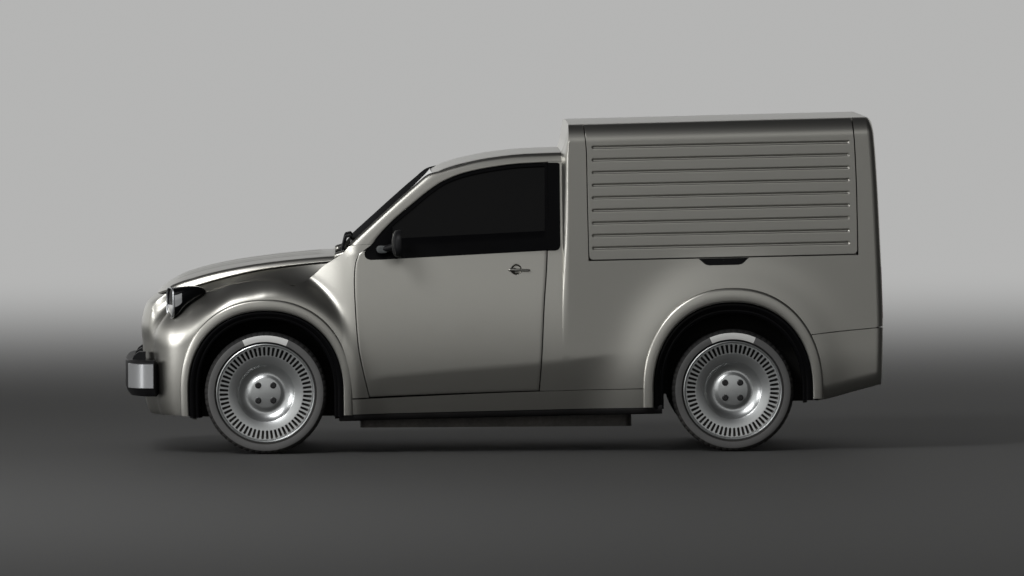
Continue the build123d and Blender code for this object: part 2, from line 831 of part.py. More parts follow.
with BuildPart() as tail_lamps:
    add(box_form(0))
    add(tail_lamp_zone.part, mode=Mode.INTERSECT)
tail_lamps.part.label = "tail_lamps"
export_step(tail_lamps.part, "parts/tail_lamps.step")

# ---------------------------------------------------------------- black lower trim
sill_trim_low = 188

with BuildPart() as lower_trim:
    for axle_x, axle_z, radius, floor_z in (
        (front_axle_x, tyre_radius, front_arch_radius, sill_bottom - 15),
        (rear_axle_x, rear_arch_height, rear_arch_radius, sill_bottom + 35),
    ):
        for hand in (-1, 1):
            with BuildSketch(Plane.XZ.offset(hand * (body_half_width - box_wall))):
                with Locations((axle_x, axle_z)):
                    Circle(radius - seal_gap)
                    Circle(radius - arch_lip, mode=Mode.SUBTRACT)
                with Locations((axle_x, floor_z - 500)):
                    Rectangle(1400, 1000, mode=Mode.SUBTRACT)
            extrude(amount=hand * (box_wall + flare_stand - 4))
    with BuildSketch(Plane.XY.offset(sill_trim_low)):
        for hand in (-1, 1):
            with Locations(((front_axle_x + rear_axle_x) / 2 - 4, hand * (body_half_width - 95))):
                Rectangle(wheelbase - 2 * rear_arch_radius - 20, 110)
    extrude(amount=sill_bottom - sill_trim_low)
lower_trim.part.label = "lower_trim"
export_step(lower_trim.part, "parts/lower_trim.step")

# ---------------------------------------------------------------- underbody
battery_top = sill_bottom
battery_depth = 90

with BuildPart() as battery_pack:
    with BuildSketch(Plane.XY.offset(battery_top - battery_depth)):
        with Locations((-40, 0)):
            RectangleRounded(1480, 1250, 40)
    extrude(amount=battery_depth)
battery_pack.part.label = "battery_pack"
export_step(battery_pack.part, "parts/battery_pack.step")

rail_y = 410
rail_width = 62
rail_low = 300
rail_high = 372

with BuildPart() as front_frame:
    with BuildSketch(Plane.XY.offset(rail_low)):
        for hand in (-1, 1):
            with Locations(((nose_x + 30 + cowl_x) / 2, hand * rail_y)):
                Rectangle(cowl_x - nose_x - 30, rail_width)
        for x in (nose_x + 60, cowl_x - 60):
            with Locations((x, 0)):
                Rectangle(60, 2 * rail_y)
    extrude(amount=rail_high - rail_low)
    with BuildSketch(Plane.XY.offset(rail_high)):
        for hand in (-1, 1):
            with Locations((front_axle_x, hand * (rail_y + 10))):
                RectangleRounded(150, 60, 20)
    extrude(amount=430)
    add(nose_panel.part, mode=Mode.SUBTRACT)
front_frame.part.label = "front_frame"
export_step(front_frame.part, "parts/front_frame.step")

with BuildPart() as drive_unit:
    with BuildSketch(Plane.XY.offset(rail_low - 60)):
        with Locations((front_axle_x, 0)):
            Rectangle(430, 2 * rail_y - rail_width)
    extrude(amount=400)
    fillet(drive_unit.edges().group_by(Axis.Z)[-1], radius=25)
drive_unit.part.label = "drive_unit"
export_step(drive_unit.part, "parts/drive_unit.step")

king_y = wheel_y - 70
ball_joint_z = 218
ball_joint_top = ball_joint_z + 34

with BuildPart() as front_suspension:
    for hand in (-1, 1):
        with BuildSketch(Plane.XY.offset(ball_joint_z - 14)):
            with BuildLine():
                Polyline(
                    (front_axle_x - 130, hand * (rail_y - 20)),
                    (front_axle_x - 34, hand * (king_y - 10)),
                    (front_axle_x + 34, hand * (king_y - 10)),
                    (front_axle_x + 190, hand * (rail_y - 20)),
                    (front_axle_x + 130, hand * (rail_y - 20)),
                    (front_axle_x, hand * (king_y - 110)),
                    (front_axle_x - 70, hand * (rail_y - 20)),
                    close=True,
                )
            make_face()
            with Locations((front_axle_x, hand * king_y)):
                Circle(34)
        extrude(amount=28)
        with BuildSketch(Plane.XY.offset(ball_joint_z + 14)):
            with Locations((front_axle_x - 100, hand * rail_y), (front_axle_x + 155, hand * rail_y)):
                Rectangle(50, 50)
        extrude(amount=rail_low - ball_joint_z - 14)
        with BuildSketch(Plane.XY.offset(ball_joint_z + 14)):
            with Locations((front_axle_x, hand * king_y)):
                Circle(13)
        extrude(amount=20)
front_suspension.part.label = "front_suspension"
export_step(front_suspension.part, "parts/front_suspension.step")

# ---------------------------------------------------------------- wheels
hub_radius = 32
stub_radius = 28
disc_face_y = 62  # the disc's outer face, outboard of the wheel's centre plane
bolt_circle = 116
slot_plate_y = 14  # the slotted band is flat and stands this far outboard of the hub face

with BuildPart() as rim_blank:
    with BuildSketch(Plane.XY):
        with BuildLine():
            half = rim_width / 2
            Polyline(
                (0, disc_face_y - 22),
                (84, disc_face_y - 22),
                (90, disc_face_y - 26),
                (118, disc_face_y - 14),
                (156, disc_face_y + 4),
                (200, disc_face_y + slot_plate_y),
                (rim_radius - 14, disc_face_y + slot_plate_y),
                (rim_radius - 10, half),
                (rim_radius, half),
                (rim_radius, half - 8),
                (rim_radius - 18, half - 16),
                (rim_radius - 18, -half + 16),
                (rim_radius, -half + 8),
                (rim_radius, -half),
                (rim_radius - 12, -half),
                (rim_radius - 24, -half + 16),
                (rim_radius - 24, disc_face_y - 4),
                (200, disc_face_y - 4),
                (156, disc_face_y - 12),
                (118, disc_face_y - 30),
                (75, disc_face_y - 46),
                (75, disc_face_y - 62),
                (0, disc_face_y - 62),
                close=True,
            )
        make_face()
    revolve(axis=Axis.Y)
    with BuildSketch(Plane.XZ.offset(-disc_face_y + 22)):
        with PolarLocations(bolt_circle / 2, 4, start_angle=45):
            Circle(17)
    extrude(amount=18, mode=Mode.SUBTRACT)
    with BuildSketch(Plane.XZ.offset(-disc_face_y + 66)):
        Circle(stub_radius + running_clearance)
    extrude(amount=-40, mode=Mode.SUBTRACT)

with BuildPart() as rim_master:
    add(rim_blank.part)
    with BuildSketch(Plane.XZ.offset(-disc_face_y - 30)):
        with PolarLocations(222.5, slot_count):
            Rectangle(40, 9)
    extrude(amount=60, mode=Mode.SUBTRACT)

with BuildPart() as tyre_master:
    with BuildSketch(Plane.XY):
        with BuildLine():
            half = tyre_width / 2
            bead = rim_radius - 18 + seal_gap
            sidewall = tyre_radius - rim_radius
            outer_side = [
                (bead, half - 26),
                (rim_radius + 1, half - 18),
                (rim_radius + 4, half - 7),
                (rim_radius + 0.42 * sidewall, half),
                (rim_radius + 0.8 * sidewall, half - 6),
                (tyre_radius, half - 30),
            ]
            inner_side = [(r, -y) for r, y in reversed(outer_side)]
            Polyline(*outer_side, *inner_side, close=True)
        make_face()
    revolve(axis=Axis.Y)

for corner, axle_x, hand in (
    ("front_left", front_axle_x, -1),
    ("front_right", front_axle_x, 1),
    ("rear_left", rear_axle_x, -1),
    ("rear_right", rear_axle_x, 1),
):
    turn = 180 if hand < 0 else 0
    with BuildPart() as rim:
        with Locations(Location((axle_x, hand * wheel_y, tyre_radius), (0, 0, turn))):
            add(rim_master.part)
    rim.part.label = f"rim_{corner}"
    export_step(rim.part, f"parts/rim_{corner}.step")
    with BuildPart() as tyre:
        with Locations(Location((axle_x, hand * wheel_y, tyre_radius), (0, 0, turn))):
            add(tyre_master.part)
    tyre.part.label = f"tyre_{corner}"
    export_step(tyre.part, f"parts/tyre_{corner}.step")

stub_end_y = wheel_y + disc_face_y - 34

with BuildPart() as knuckle_left:
    with BuildSketch(Plane.XZ.offset(king_y - 40)):
        with Locations((front_axle_x, tyre_radius)):
            Circle(62)
        with Locations((front_axle_x, (ball_joint_top + seal_gap + tyre_radius) / 2)):
            Rectangle(60, tyre_radius - ball_joint_top - seal_gap)
        with Locations((front_axle_x + 75, tyre_radius - 20)):
            Rectangle(110, 34)
    extrude(amount=58)
    with BuildSketch(Plane.XZ.offset(king_y + 18)):
        with Locations((front_axle_x, tyre_radius)):
            Circle(stub_radius)
    extrude(amount=stub_end_y - king_y - 18)
knuckle_left.part.label = "knuckle_left"
export_step(knuckle_left.part, "parts/knuckle_left.step")

with BuildPart() as knuckle_right:
    mirror(knuckle_left.part, about=Plane.XZ)
knuckle_right.part.label = "knuckle_right"
export_step(knuckle_right.part, "parts/knuckle_right.step")

with BuildPart() as rear_axle:
    with BuildSketch(Plane.XZ.offset(-wheel_y + 62)):
        with Locations((rear_axle_x, tyre_radius)):
            Circle(38)
    extrude(amount=2 * (wheel_y - 62))
    with BuildSketch(Plane.XZ.offset(-stub_end_y)):
        with Locations((rear_axle_x, tyre_radius)):
            Circle(stub_radius)
    extrude(amount=2 * stub_end_y)
    for hand in (-1, 1):
        with BuildSketch(Plane.XZ.offset(hand * 500)):
            with BuildLine():
                Polyline(
                    (rear_axle_x + 40, tyre_radius - 36),
                    (rear_axle_x + 40, tyre_radius + 36),
                    (rear_axle_x - 420, cargo_floor_height - 30),
                    (rear_axle_x - 500, cargo_floor_height - 30),
                    (rear_axle_x - 500, tyre_radius + 40),
                    close=True,
                )
            make_face()
        extrude(amount=hand * 55)
rear_axle.part.label = "rear_axle"
export_step(rear_axle.part, "parts/rear_axle.step")

# ---------------------------------------------------------------- cab interior
cab_floor_top = sill_bottom + cab_wall

with BuildPart() as dashboard:
    with BuildSketch(Plane.XZ):
        with BuildLine():
            Polyline(
                (cowl_x + cab_wall, 690),
                (cowl_x + cab_wall, 985),
                (cowl_x + 150, 1010),
                (cowl_x + 330, 985),
                (cowl_x + 370, 900),
                (cowl_x + 300, 720),
                close=True,
            )
        board = make_face()
        fillet(board.vertices().filter_by(lambda v: v.X > cowl_x + 200), radius=30)
    extrude(amount=body_half_width - 135, both=True)
dashboard.part.label = "dashboard"
export_step(dashboard.part, "parts/dashboard.step")

wheel_centre = (cowl_x + 500, -370, 1005)

with BuildPart() as steering_wheel:
    with BuildSketch(Plane(origin=wheel_centre, x_dir=(0, 1, 0), z_dir=(cos(radians(28)), 0, sin(radians(28))))):
        Circle(185)
        Circle(160, mode=Mode.SUBTRACT)
        Circle(48)
        with PolarLocations(105, 3, start_angle=90):
            Rectangle(130, 30)
    extrude(amount=12, both=True)
    with BuildSketch(Plane(origin=wheel_centre, x_dir=(0, 1, 0), z_dir=(-cos(radians(28)), 0, -sin(radians(28))))):
        Circle(26)
    extrude(amount=190)
    add(dashboard.part, mode=Mode.SUBTRACT)
steering_wheel.part.label = "steering_wheel"
export_step(steering_wheel.part, "parts/steering_wheel.step")

seat_x = door_rear_x - 330
seat_y = 370

with BuildPart() as seats:
    for hand in (-1, 1):
        with BuildSketch(Plane.XZ.offset(hand * (seat_y - 250))):
            with BuildLine():
                Polyline(
                    (seat_x - 300, cab_floor_top + 190),
                    (seat_x - 300, cab_floor_top + 330),
                    (seat_x + 150, cab_floor_top + 290),
                    (seat_x + 265, cab_floor_top + 900),
                    (seat_x + 375, cab_floor_top + 900),
                    (seat_x + 280, cab_floor_top + 160),
                    close=True,
                )
            seat_side = make_face()
            fillet(seat_side.vertices(), radius=38)
        extrude(amount=hand * 500)
        with BuildSketch(Plane.XY.offset(cab_floor_top)):
            with Locations((seat_x, hand * seat_y)):
                Rectangle(480, 380)
        extrude(amount=200)
        with BuildSketch(Plane.XY.offset(cab_floor_top + 895)):
            with Locations((seat_x + 322, hand * seat_y)):
                RectangleRounded(95, 260, 40)
        extrude(amount=200)
seats.part.label = "seats"
export_step(seats.part, "parts/seats.step")
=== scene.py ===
import json
import math
import bmesh
import bpy
import numpy as np
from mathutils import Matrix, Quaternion, Vector


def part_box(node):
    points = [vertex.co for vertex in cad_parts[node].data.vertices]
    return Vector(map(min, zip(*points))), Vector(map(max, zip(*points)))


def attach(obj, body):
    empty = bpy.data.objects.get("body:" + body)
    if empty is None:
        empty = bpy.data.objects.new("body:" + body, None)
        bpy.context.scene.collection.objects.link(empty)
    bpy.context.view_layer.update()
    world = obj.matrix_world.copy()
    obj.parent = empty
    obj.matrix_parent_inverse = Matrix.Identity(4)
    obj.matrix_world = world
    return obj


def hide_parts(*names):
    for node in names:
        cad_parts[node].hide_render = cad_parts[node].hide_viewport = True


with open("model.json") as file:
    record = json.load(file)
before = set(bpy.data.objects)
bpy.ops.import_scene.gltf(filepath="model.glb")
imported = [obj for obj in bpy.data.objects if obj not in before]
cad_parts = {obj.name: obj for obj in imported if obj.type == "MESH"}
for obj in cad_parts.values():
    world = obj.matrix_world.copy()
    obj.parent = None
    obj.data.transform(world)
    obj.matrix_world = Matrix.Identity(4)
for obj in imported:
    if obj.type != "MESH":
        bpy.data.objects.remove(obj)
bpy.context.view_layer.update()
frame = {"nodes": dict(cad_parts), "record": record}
print("frame loaded:", len(frame["nodes"]), "nodes")

# shared by all the panels, in metres; the left half is worked out and mirrored
tyreLow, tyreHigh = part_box("tyre_front_left")
rearTyreLow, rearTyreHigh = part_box("tyre_rear_left")
van = {
    "frontAxle": (tyreLow.x + tyreHigh.x) / 2,
    "rearAxle": (rearTyreLow.x + rearTyreHigh.x) / 2,
    "tyreRadius": tyreHigh.z / 2,
    "halfWidth": 0.865,
    "gap": 0.003,  # half of a shut gap
}


# numpy helpers

# smooth step: 0 before a, 1 after b, 3t^2 - 2t^3 between
def ease(a, b, x):
    t = np.clip((np.asarray(x, float) - a) / (b - a), 0, 1)
    return t * t * (3 - 2 * t)


# height over x through the points: cubic pieces whose slopes are the harmonic means of their neighbours
def lineThrough(points, x):
    xs, ys = np.array(points, float).T
    x = np.clip(np.asarray(x, float), xs[0], xs[-1])
    width = np.diff(xs)
    rise = np.diff(ys) / width
    slope = np.empty_like(xs)
    slope[0], slope[-1] = rise[0], rise[-1]
    both = rise[:-1] * rise[1:]
    slope[1:-1] = np.where(both > 0, 2 * both / np.where(both > 0, rise[:-1] + rise[1:], 1), 0)
    i = np.clip(np.searchsorted(xs, x, side="right") - 1, 0, len(width) - 1)
    t = (x - xs[i]) / width[i]
    return (
        ys[i] * (1 + 2 * t) * (1 - t) ** 2
        + slope[i] * width[i] * t * (1 - t) ** 2
        + ys[i + 1] * t * t * (3 - 2 * t)
        - slope[i + 1] * width[i] * t * t * (1 - t)
    )


# points at the given shares of a smooth path, each coordinate a cubic over the chord length
def pathThrough(points, share):
    points = np.array(points, float)
    run = np.concatenate([[0], np.cumsum(np.linalg.norm(np.diff(points, axis=0), axis=1))])
    along = np.asarray(share, float) * run[-1]
    return np.stack([lineThrough(np.stack([run, c], 1), along) for c in points.T], -1)


# smooth maximum: the mean of a and b plus half the root of their squared difference and the blend
def highest(a, b, blend):
    return (a + b + np.sqrt((a - b) ** 2 + blend**2)) / 2


# shares from 0 to 1 in groups: each station is (end, steps), evenly spaced inside its group
def spread(*stations):
    made, last = [0.0], 0.0
    for end, steps in stations:
        made.extend(last + (end - last) * (np.arange(steps) + 1) / steps)
        last = end
    return np.array(made)


# points from three coordinates that are spread over one another, the last axis x, y and z
def surface(x, y, z):
    return np.stack(np.broadcast_arrays(x, y, z), -1)


# vertices and quads of an m by n grid of points; keep marks the quads to make, closed joins the last row
def grid(points, keep=None, closed=False):
    m, n = points.shape[:2]
    index = np.arange(m * n).reshape(m, n)
    if closed:
        index = np.vstack([index, index[:1]])
    quads = np.stack([index[:-1, :-1], index[1:, :-1], index[1:, 1:], index[:-1, 1:]], -1)
    quads = quads[keep] if keep is not None else quads.reshape(-1, 4)
    return points.reshape(-1, 3), quads.reshape(-1, 4)


# the same sheets on the other side: y changes sign and every face turns round
def mirrored(parts):
    return [(verts * [1, -1, 1], faces[:, ::-1]) for verts, faces in parts]


# one finished mesh from sheets: welded, given its wall and
# rounded edges, then smoothed below the crisp angle
def addPiece(name, parts, material, body="root", stands=(), slot=None, wall=0, rounding=0, crisp=35,
             weld=2e-5):
    verts, faces, start = [], [], 0
    for v, f in parts:
        verts.append(v)
        faces.append(f + start)
        start += len(v)
    mesh = bpy.data.meshes.new(name)
    mesh.from_pydata(np.vstack(verts).tolist(), [], np.vstack(faces).tolist())
    bm = bmesh.new()
    bm.from_mesh(mesh)
    bmesh.ops.remove_doubles(bm, verts=bm.verts, dist=weld)
    bmesh.ops.dissolve_degenerate(bm, edges=bm.edges, dist=1e-5)
    loose = [v for v in bm.verts if not v.link_faces]
    bmesh.ops.delete(bm, geom=loose, context="VERTS")
    bm.to_mesh(mesh)
    bm.free()
    piece = bpy.data.objects.new(name, mesh)
    bpy.context.scene.collection.objects.link(piece)
    if wall:
        solid = piece.modifiers.new("wall", "SOLIDIFY")
        solid.thickness, solid.offset, solid.use_even_offset = wall, -1, False
    if rounding:
        bevel = piece.modifiers.new("rounding", "BEVEL")
        bevel.width, bevel.segments = rounding, 2
        bevel.limit_method, bevel.angle_limit = "ANGLE", math.radians(50)
    if wall or rounding:
        bpy.context.view_layer.update()
        final = bpy.data.meshes.new_from_object(piece.evaluated_get(bpy.context.evaluated_depsgraph_get()))
        piece.modifiers.clear()
        piece.data = final
        bpy.data.meshes.remove(mesh)
        final.name = name
    piece.data.shade_smooth()
    piece.data.set_sharp_from_angle(angle=math.radians(crisp))
    piece.data.materials.clear()
    piece.data.materials.append(material)
    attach(piece, body)
    if stands:
        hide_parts(*stands)
    return piece


# the left piece and its mirror image; SIDE in a body or node name becomes left or right
def bothSides(name, parts, material, body="root", stands=(), **more):
    made = []
    for side, sheets in (("left", parts), ("right", mirrored(parts))):
        made.append(
            addPiece(
                f"{name}_{side}", sheets, material, body.replace("SIDE", side),
                [s.replace("SIDE", side) for s in stands], **more,
            )
        )
    return made


# a profile of (radius, y) points turned about the axle through
# centre; rows go round, columns along the profile
def turned(profile, centre, count, start=0, end=2 * math.pi):
    angle = np.linspace(start, end, count + 1)
    radius, across = np.array(profile, float).T
    return np.stack(
        [
            centre[0] + radius * np.cos(angle)[:, None],
            centre[1] + across + 0 * angle[:, None],
            centre[2] + radius * np.sin(angle)[:, None],
        ],
        -1,
    )


# materials

# a shader node group with named sockets, built once
def group(name, inputs, outputs, build):
    tree = bpy.data.node_groups.new(name, "ShaderNodeTree")
    for label, kind, default in inputs:
        socket = tree.interface.new_socket(name=label, in_out="INPUT", socket_type=kind)
        if default is not None:
            socket.default_value = default
    for label, kind in outputs:
        tree.interface.new_socket(name=label, in_out="OUTPUT", socket_type=kind)
    build(tree, tree.nodes.new("NodeGroupInput"), tree.nodes.new("NodeGroupOutput"))
    return tree


# the product of two outputs
def times(tree, a, b):
    product = tree.nodes.new("ShaderNodeMath")
    product.operation = "MULTIPLY"
    tree.links.new(a, product.inputs[0])
    tree.links.new(b, product.inputs[1])
    return product.outputs[0]


# fine noise and broad noise mixed into one height, with a softer broad value for tone
def buildGrain(tree, given, made):
    place = tree.nodes.new("ShaderNodeTexCoord")
    fine = tree.nodes.new("ShaderNodeTexNoise")
    broad = tree.nodes.new("ShaderNodeTexNoise")
    fine.inputs["Detail"].default_value = 2
    broad.inputs["Detail"].default_value = 3
    tree.links.new(place.outputs["Object"], fine.inputs["Vector"])
    tree.links.new(place.outputs["Object"], broad.inputs["Vector"])
    tree.links.new(given.outputs["Fine scale"], fine.inputs["Scale"])
    tree.links.new(given.outputs["Broad scale"], broad.inputs["Scale"])
    tree.links.new(fine.outputs["Fac"], made.inputs["Fine"])
    tree.links.new(broad.outputs["Fac"], made.inputs["Broad"])


# edge mask from the pointiness of the mesh, times noise so that it breaks up
def buildWear(tree, given, made):
    shape = tree.nodes.new("ShaderNodeNewGeometry")
    ramp = tree.nodes.new("ShaderNodeMapRange")
    ramp.inputs["From Min"].default_value = 0.53
    ramp.inputs["From Max"].default_value = 0.60
    place = tree.nodes.new("ShaderNodeTexCoord")
    noise = tree.nodes.new("ShaderNodeTexNoise")
    noise.inputs["Scale"].default_value = 60
    tree.links.new(shape.outputs["Pointiness"], ramp.inputs["Value"])
    tree.links.new(place.outputs["Object"], noise.inputs["Vector"])
    broken = times(tree, ramp.outputs["Result"], noise.outputs["Fac"])
    tree.links.new(times(tree, broken, given.outputs["Amount"]), made.inputs["Mask"])


# dust mask: strongest near the ground, gone above the given height, broken up by noise
def buildDust(tree, given, made):
    place = tree.nodes.new("ShaderNodeTexCoord")
    split = tree.nodes.new("ShaderNodeSeparateXYZ")
    low = tree.nodes.new("ShaderNodeMapRange")
    low.inputs["To Min"].default_value = 1
    low.inputs["To Max"].default_value = 0
    noise = tree.nodes.new("ShaderNodeTexNoise")
    noise.inputs["Scale"].default_value = 9
    noise.inputs["Detail"].default_value = 6
    tree.links.new(place.outputs["Object"], split.inputs[0])
    tree.links.new(split.outputs["Z"], low.inputs["Value"])
    tree.links.new(given.outputs["Height"], low.inputs["From Max"])
    tree.links.new(place.outputs["Object"], noise.inputs["Vector"])
    broken = times(tree, low.outputs["Result"], noise.outputs["Fac"])
    tree.links.new(times(tree, broken, given.outputs["Amount"]), made.inputs["Mask"])


grainGroup = group(
    "surfaceGrain",
    [("Fine scale", "NodeSocketFloat", 900.0), ("Broad scale", "NodeSocketFloat", 3.0)],
    [("Fine", "NodeSocketFloat"), ("Broad", "NodeSocketFloat")],
    buildGrain,
)
wearGroup = group("edgeWear", [("Amount", "NodeSocketFloat", 0.3)], [("Mask", "NodeSocketFloat")],
                  buildWear)
dustGroup = group(
    "roadDust",
    [("Height", "NodeSocketFloat", 0.6), ("Amount", "NodeSocketFloat", 0.2)],
    [("Mask", "NodeSocketFloat")],
    buildDust,
)


# a Principled finish: base mottled towards light by broad noise,
# roughness from rough over its spread, grain as bump
def finish(name, base, light, rough, roughSpread, fineScale=900, broadScale=2.5, bump=0.02, wear=0.0,
           dust=0.0, wearTone=(0.3, 0.3, 0.3), dustHeight=0.5, **shader):
    material = bpy.data.materials.new(name)
    material.use_nodes = True
    nodes, links = material.node_tree.nodes, material.node_tree.links
    principled = nodes["Principled BSDF"]
    grain = nodes.new("ShaderNodeGroup")
    grain.node_tree = grainGroup
    grain.inputs["Fine scale"].default_value = fineScale
    grain.inputs["Broad scale"].default_value = broadScale
    tone = nodes.new("ShaderNodeMix")
    tone.data_type = "RGBA"
    tone.inputs["A"].default_value = (*base, 1)
    tone.inputs["B"].default_value = (*light, 1)
    links.new(grain.outputs["Broad"], tone.inputs["Factor"])
    colour = tone.outputs["Result"]
    for amount, tree, shade in ((wear, wearGroup, wearTone), (dust, dustGroup, (0.34, 0.31, 0.27))):
        if amount:
            mask = nodes.new("ShaderNodeGroup")
            mask.node_tree = tree
            mask.inputs["Amount"].default_value = amount
            if tree is dustGroup:
                mask.inputs["Height"].default_value = dustHeight
            over = nodes.new("ShaderNodeMix")
            over.data_type = "RGBA"
            over.inputs["B"].default_value = (*shade, 1)
            links.new(colour, over.inputs["A"])
            links.new(mask.outputs["Mask"], over.inputs["Factor"])
            colour = over.outputs["Result"]
    links.new(colour, principled.inputs["Base Color"])
    roughness = nodes.new("ShaderNodeMapRange")
    roughness.inputs["To Min"].default_value = rough
    roughness.inputs["To Max"].default_value = rough + roughSpread
    links.new(grain.outputs["Fine"], roughness.inputs["Value"])
    links.new(roughness.outputs["Result"], principled.inputs["Roughness"])
    relief = nodes.new("ShaderNodeBump")
    relief.inputs["Strength"].default_value = bump
    relief.inputs["Distance"].default_value = 0.001
    links.new(grain.outputs["Fine"], relief.inputs["Height"])
    links.new(relief.outputs["Normal"], principled.inputs["Normal"])
    for socket, value in shader.items():
        principled.inputs[socket.replace("_", " ")].default_value = value
    return material


bodyPaint = finish(
    "warm grey satin paint", (0.400, 0.393, 0.362), (0.430, 0.423, 0.391), 0.31, 0.06, 1400, 1.6, 0.03,
    wear=0.10, dust=0.06, wearTone=(0.46, 0.45, 0.42), Metallic=0.96, Coat_Weight=0.15, Coat_Roughness=0.28,
)
# the body paint about four times darker for the door and hatch shut ledges: painted shade behind the shut
# gaps
shutPaintWithPaintedShade = finish("door shut paint darkened as painted shade", (0.10, 0.095, 0.085), (0.12, 0.115, 0.10), 0.5, 0.1, 500, 4, 0.05,
                    Metallic=0.4)
blackGloss = finish("black gloss plastic", (0.002, 0.002, 0.0025), (0.004, 0.004, 0.0045), 0.16, 0.08, 700,
                    5, 0.01, dust=0.01, Specular_IOR_Level=0.08)
blackPlastic = finish("black grained plastic", (0.005, 0.005, 0.006), (0.009, 0.009, 0.010), 0.42, 0.16,
                      1300, 7, 0.12, wear=0.15, dust=0.06, wearTone=(0.03, 0.03, 0.03),
                      Specular_IOR_Level=0.18)
archDark = finish("wheel housing liner", (0.008, 0.008, 0.008), (0.014, 0.013, 0.012), 0.75, 0.2, 300, 9,
                  0.3, dust=0.15)
blackSeal = finish("rubber seal", (0.010, 0.010, 0.010), (0.014, 0.014, 0.014), 0.6, 0.2, 800, 8, 0.05)
steelDark = finish("dark coated steel", (0.035, 0.035, 0.037), (0.055, 0.052, 0.050), 0.45, 0.25, 260, 6,
                   0.15, wear=0.4, dust=0.35, wearTone=(0.20, 0.19, 0.18), Metallic=0.7)
mirrorGrey = finish("mirror foot grey", (0.085, 0.092, 0.093), (0.10, 0.107, 0.108), 0.35, 0.1, 900, 5,
                    0.03)
castGrey = finish("cast alloy", (0.20, 0.20, 0.205), (0.28, 0.275, 0.27), 0.5, 0.25, 420, 8, 0.4, dust=0.4,
                  Metallic=0.8)
cabinPlastic = finish("cabin plastic", (0.030, 0.030, 0.031), (0.042, 0.041, 0.040), 0.5, 0.2, 1100, 5,
                      0.25, wear=0.1)
bareSilver = finish("brushed silver cladding", (0.42, 0.43, 0.44), (0.50, 0.51, 0.52), 0.26, 0.12, 900, 4,
                    0.03, wear=0.1, dust=0.08, Metallic=0.9)
wheelPaint = finish("satin wheel paint", (0.50, 0.515, 0.515), (0.54, 0.555, 0.555), 0.26, 0.08, 1100, 6,
                    0.02, wear=0.06, dust=0.10, dustHeight=0.35, Metallic=0.9, Coat_Weight=0.1,
                    Coat_Roughness=0.25)
tailRed = finish("red lens", (0.32, 0.012, 0.012), (0.40, 0.02, 0.018), 0.08, 0.05, 300, 4, 0.02,
                 Coat_Weight=0.6, Coat_Roughness=0.04)
lampLens = finish("clear lamp lens", (0.30, 0.305, 0.31), (0.36, 0.365, 0.37), 0.06, 0.04, 300, 4, 0.01,
                  Coat_Weight=0.8, Coat_Roughness=0.03)
slotMaterials = {
    "body_paint": bodyPaint, "black_plastic": blackPlastic, "lamp_black": blackGloss, "red_lens": tailRed,
    "dark_steel": steelDark, "cast_grey": castGrey, "cabin_plastic": cabinPlastic,
    "wheel_paint": wheelPaint, "tinted_glass": blackGloss, "seat_cloth": cabinPlastic,
    "tyre_rubber": blackSeal,
}
slotOf = {s["node"]: s["material_slot"] for s in frame["record"]["subparts"]}
for node, piece in frame["nodes"].items():
    piece.data.materials.clear()
    piece.data.materials.append(slotMaterials[slotOf[node]])
print("materials made")

# the body skin: a plan line from the nose to the tail, with heights and offsets square to it
bodySkin = {
    "plan": [(-1.980, 0.0), (-1.979, 0.20), (-1.968, 0.38), (-1.937, 0.49), (-1.906, 0.555),
             (-1.897, 0.615), (-1.876, 0.690), (-1.820, 0.760), (-1.730, 0.810), (-1.610, 0.844),
             (-1.470, 0.861), (-1.293, 0.865)],
    "noseLean": [(0.16, 0.050), (0.19, 0.037), (0.224, 0.014), (0.30, 0.006), (0.51, 0.010), (0.598, 0.006),
                 (0.677, 0.0), (0.756, 0.012), (0.805, 0.032), (0.858, 0.105), (0.90, 0.18)],
    "valley": -1.902,  # where the nose panel meets the fender lobes, station along the body
    "bulge": 0.006,
    "crestPull": 7.5,
    "crest": [(-1.897, 0.800), (-1.876, 0.835), (-1.82, 0.862), (-1.75, 0.872), (-1.63, 0.881),
              (-1.485, 0.921), (-1.318, 0.942), (-1.213, 0.936), (-1.137, 0.913)],
    "shoulderStart": [(-1.95, 0.60), (-1.80, 0.58), (-1.72, 0.62), (-1.63, 0.70), (-1.55, 0.76),
                      (-1.45, 0.806), (-1.293, 0.832)],
    "shoulderDrop": [(-1.95, 0.10), (-1.80, 0.14), (-1.63, 0.150), (-1.45, 0.112), (-1.293, 0.0907)],
    "lowCrease": [(-0.724, 0.409), (-0.289, 0.447), (0.200, 0.485), (0.592, 0.531)],
    "rearBulge": 0.024,
}
archSets = {
    "front": {"axle": van["frontAxle"], "height": 0.332, "half": 0.424, "tall": 0.4495, "flareSide": 0.049,
              "flareTop": 0.0605, "lipSide": 0.052, "lipTop": 0.047, "stand": 0.021, "ends": (0.209, 0.212),
              "deep": 0.455, "wallEnds": (0.190, 0.190)},
    "rear": {"axle": van["rearAxle"], "height": 0.332, "half": 0.434, "tall": 0.482, "flareSide": 0.056,
             "flareTop": 0.078, "lipSide": 0.057, "lipTop": 0.063, "stand": 0.036, "ends": (0.245, 0.288),
             "deep": 0.575, "wallEnds": (0.305, 0.262)},
}
archPower = 2.17
planLine = pathThrough(bodySkin["plan"], np.linspace(0, 1, 600))
planRun = np.concatenate([[0], np.cumsum(np.linalg.norm(np.diff(planLine, axis=0), axis=1))])
planRun += van["frontAxle"] - planRun[-1]
planTangent = np.gradient(planLine, planRun, axis=0)
planTangent /= np.linalg.norm(planTangent, axis=1)[:, None]


# distance along the body of a point on the plan line, from its x
def stationOf(x):
    return np.where(np.asarray(x) < van["frontAxle"], np.interp(x, planLine[:, 0], planRun), x)


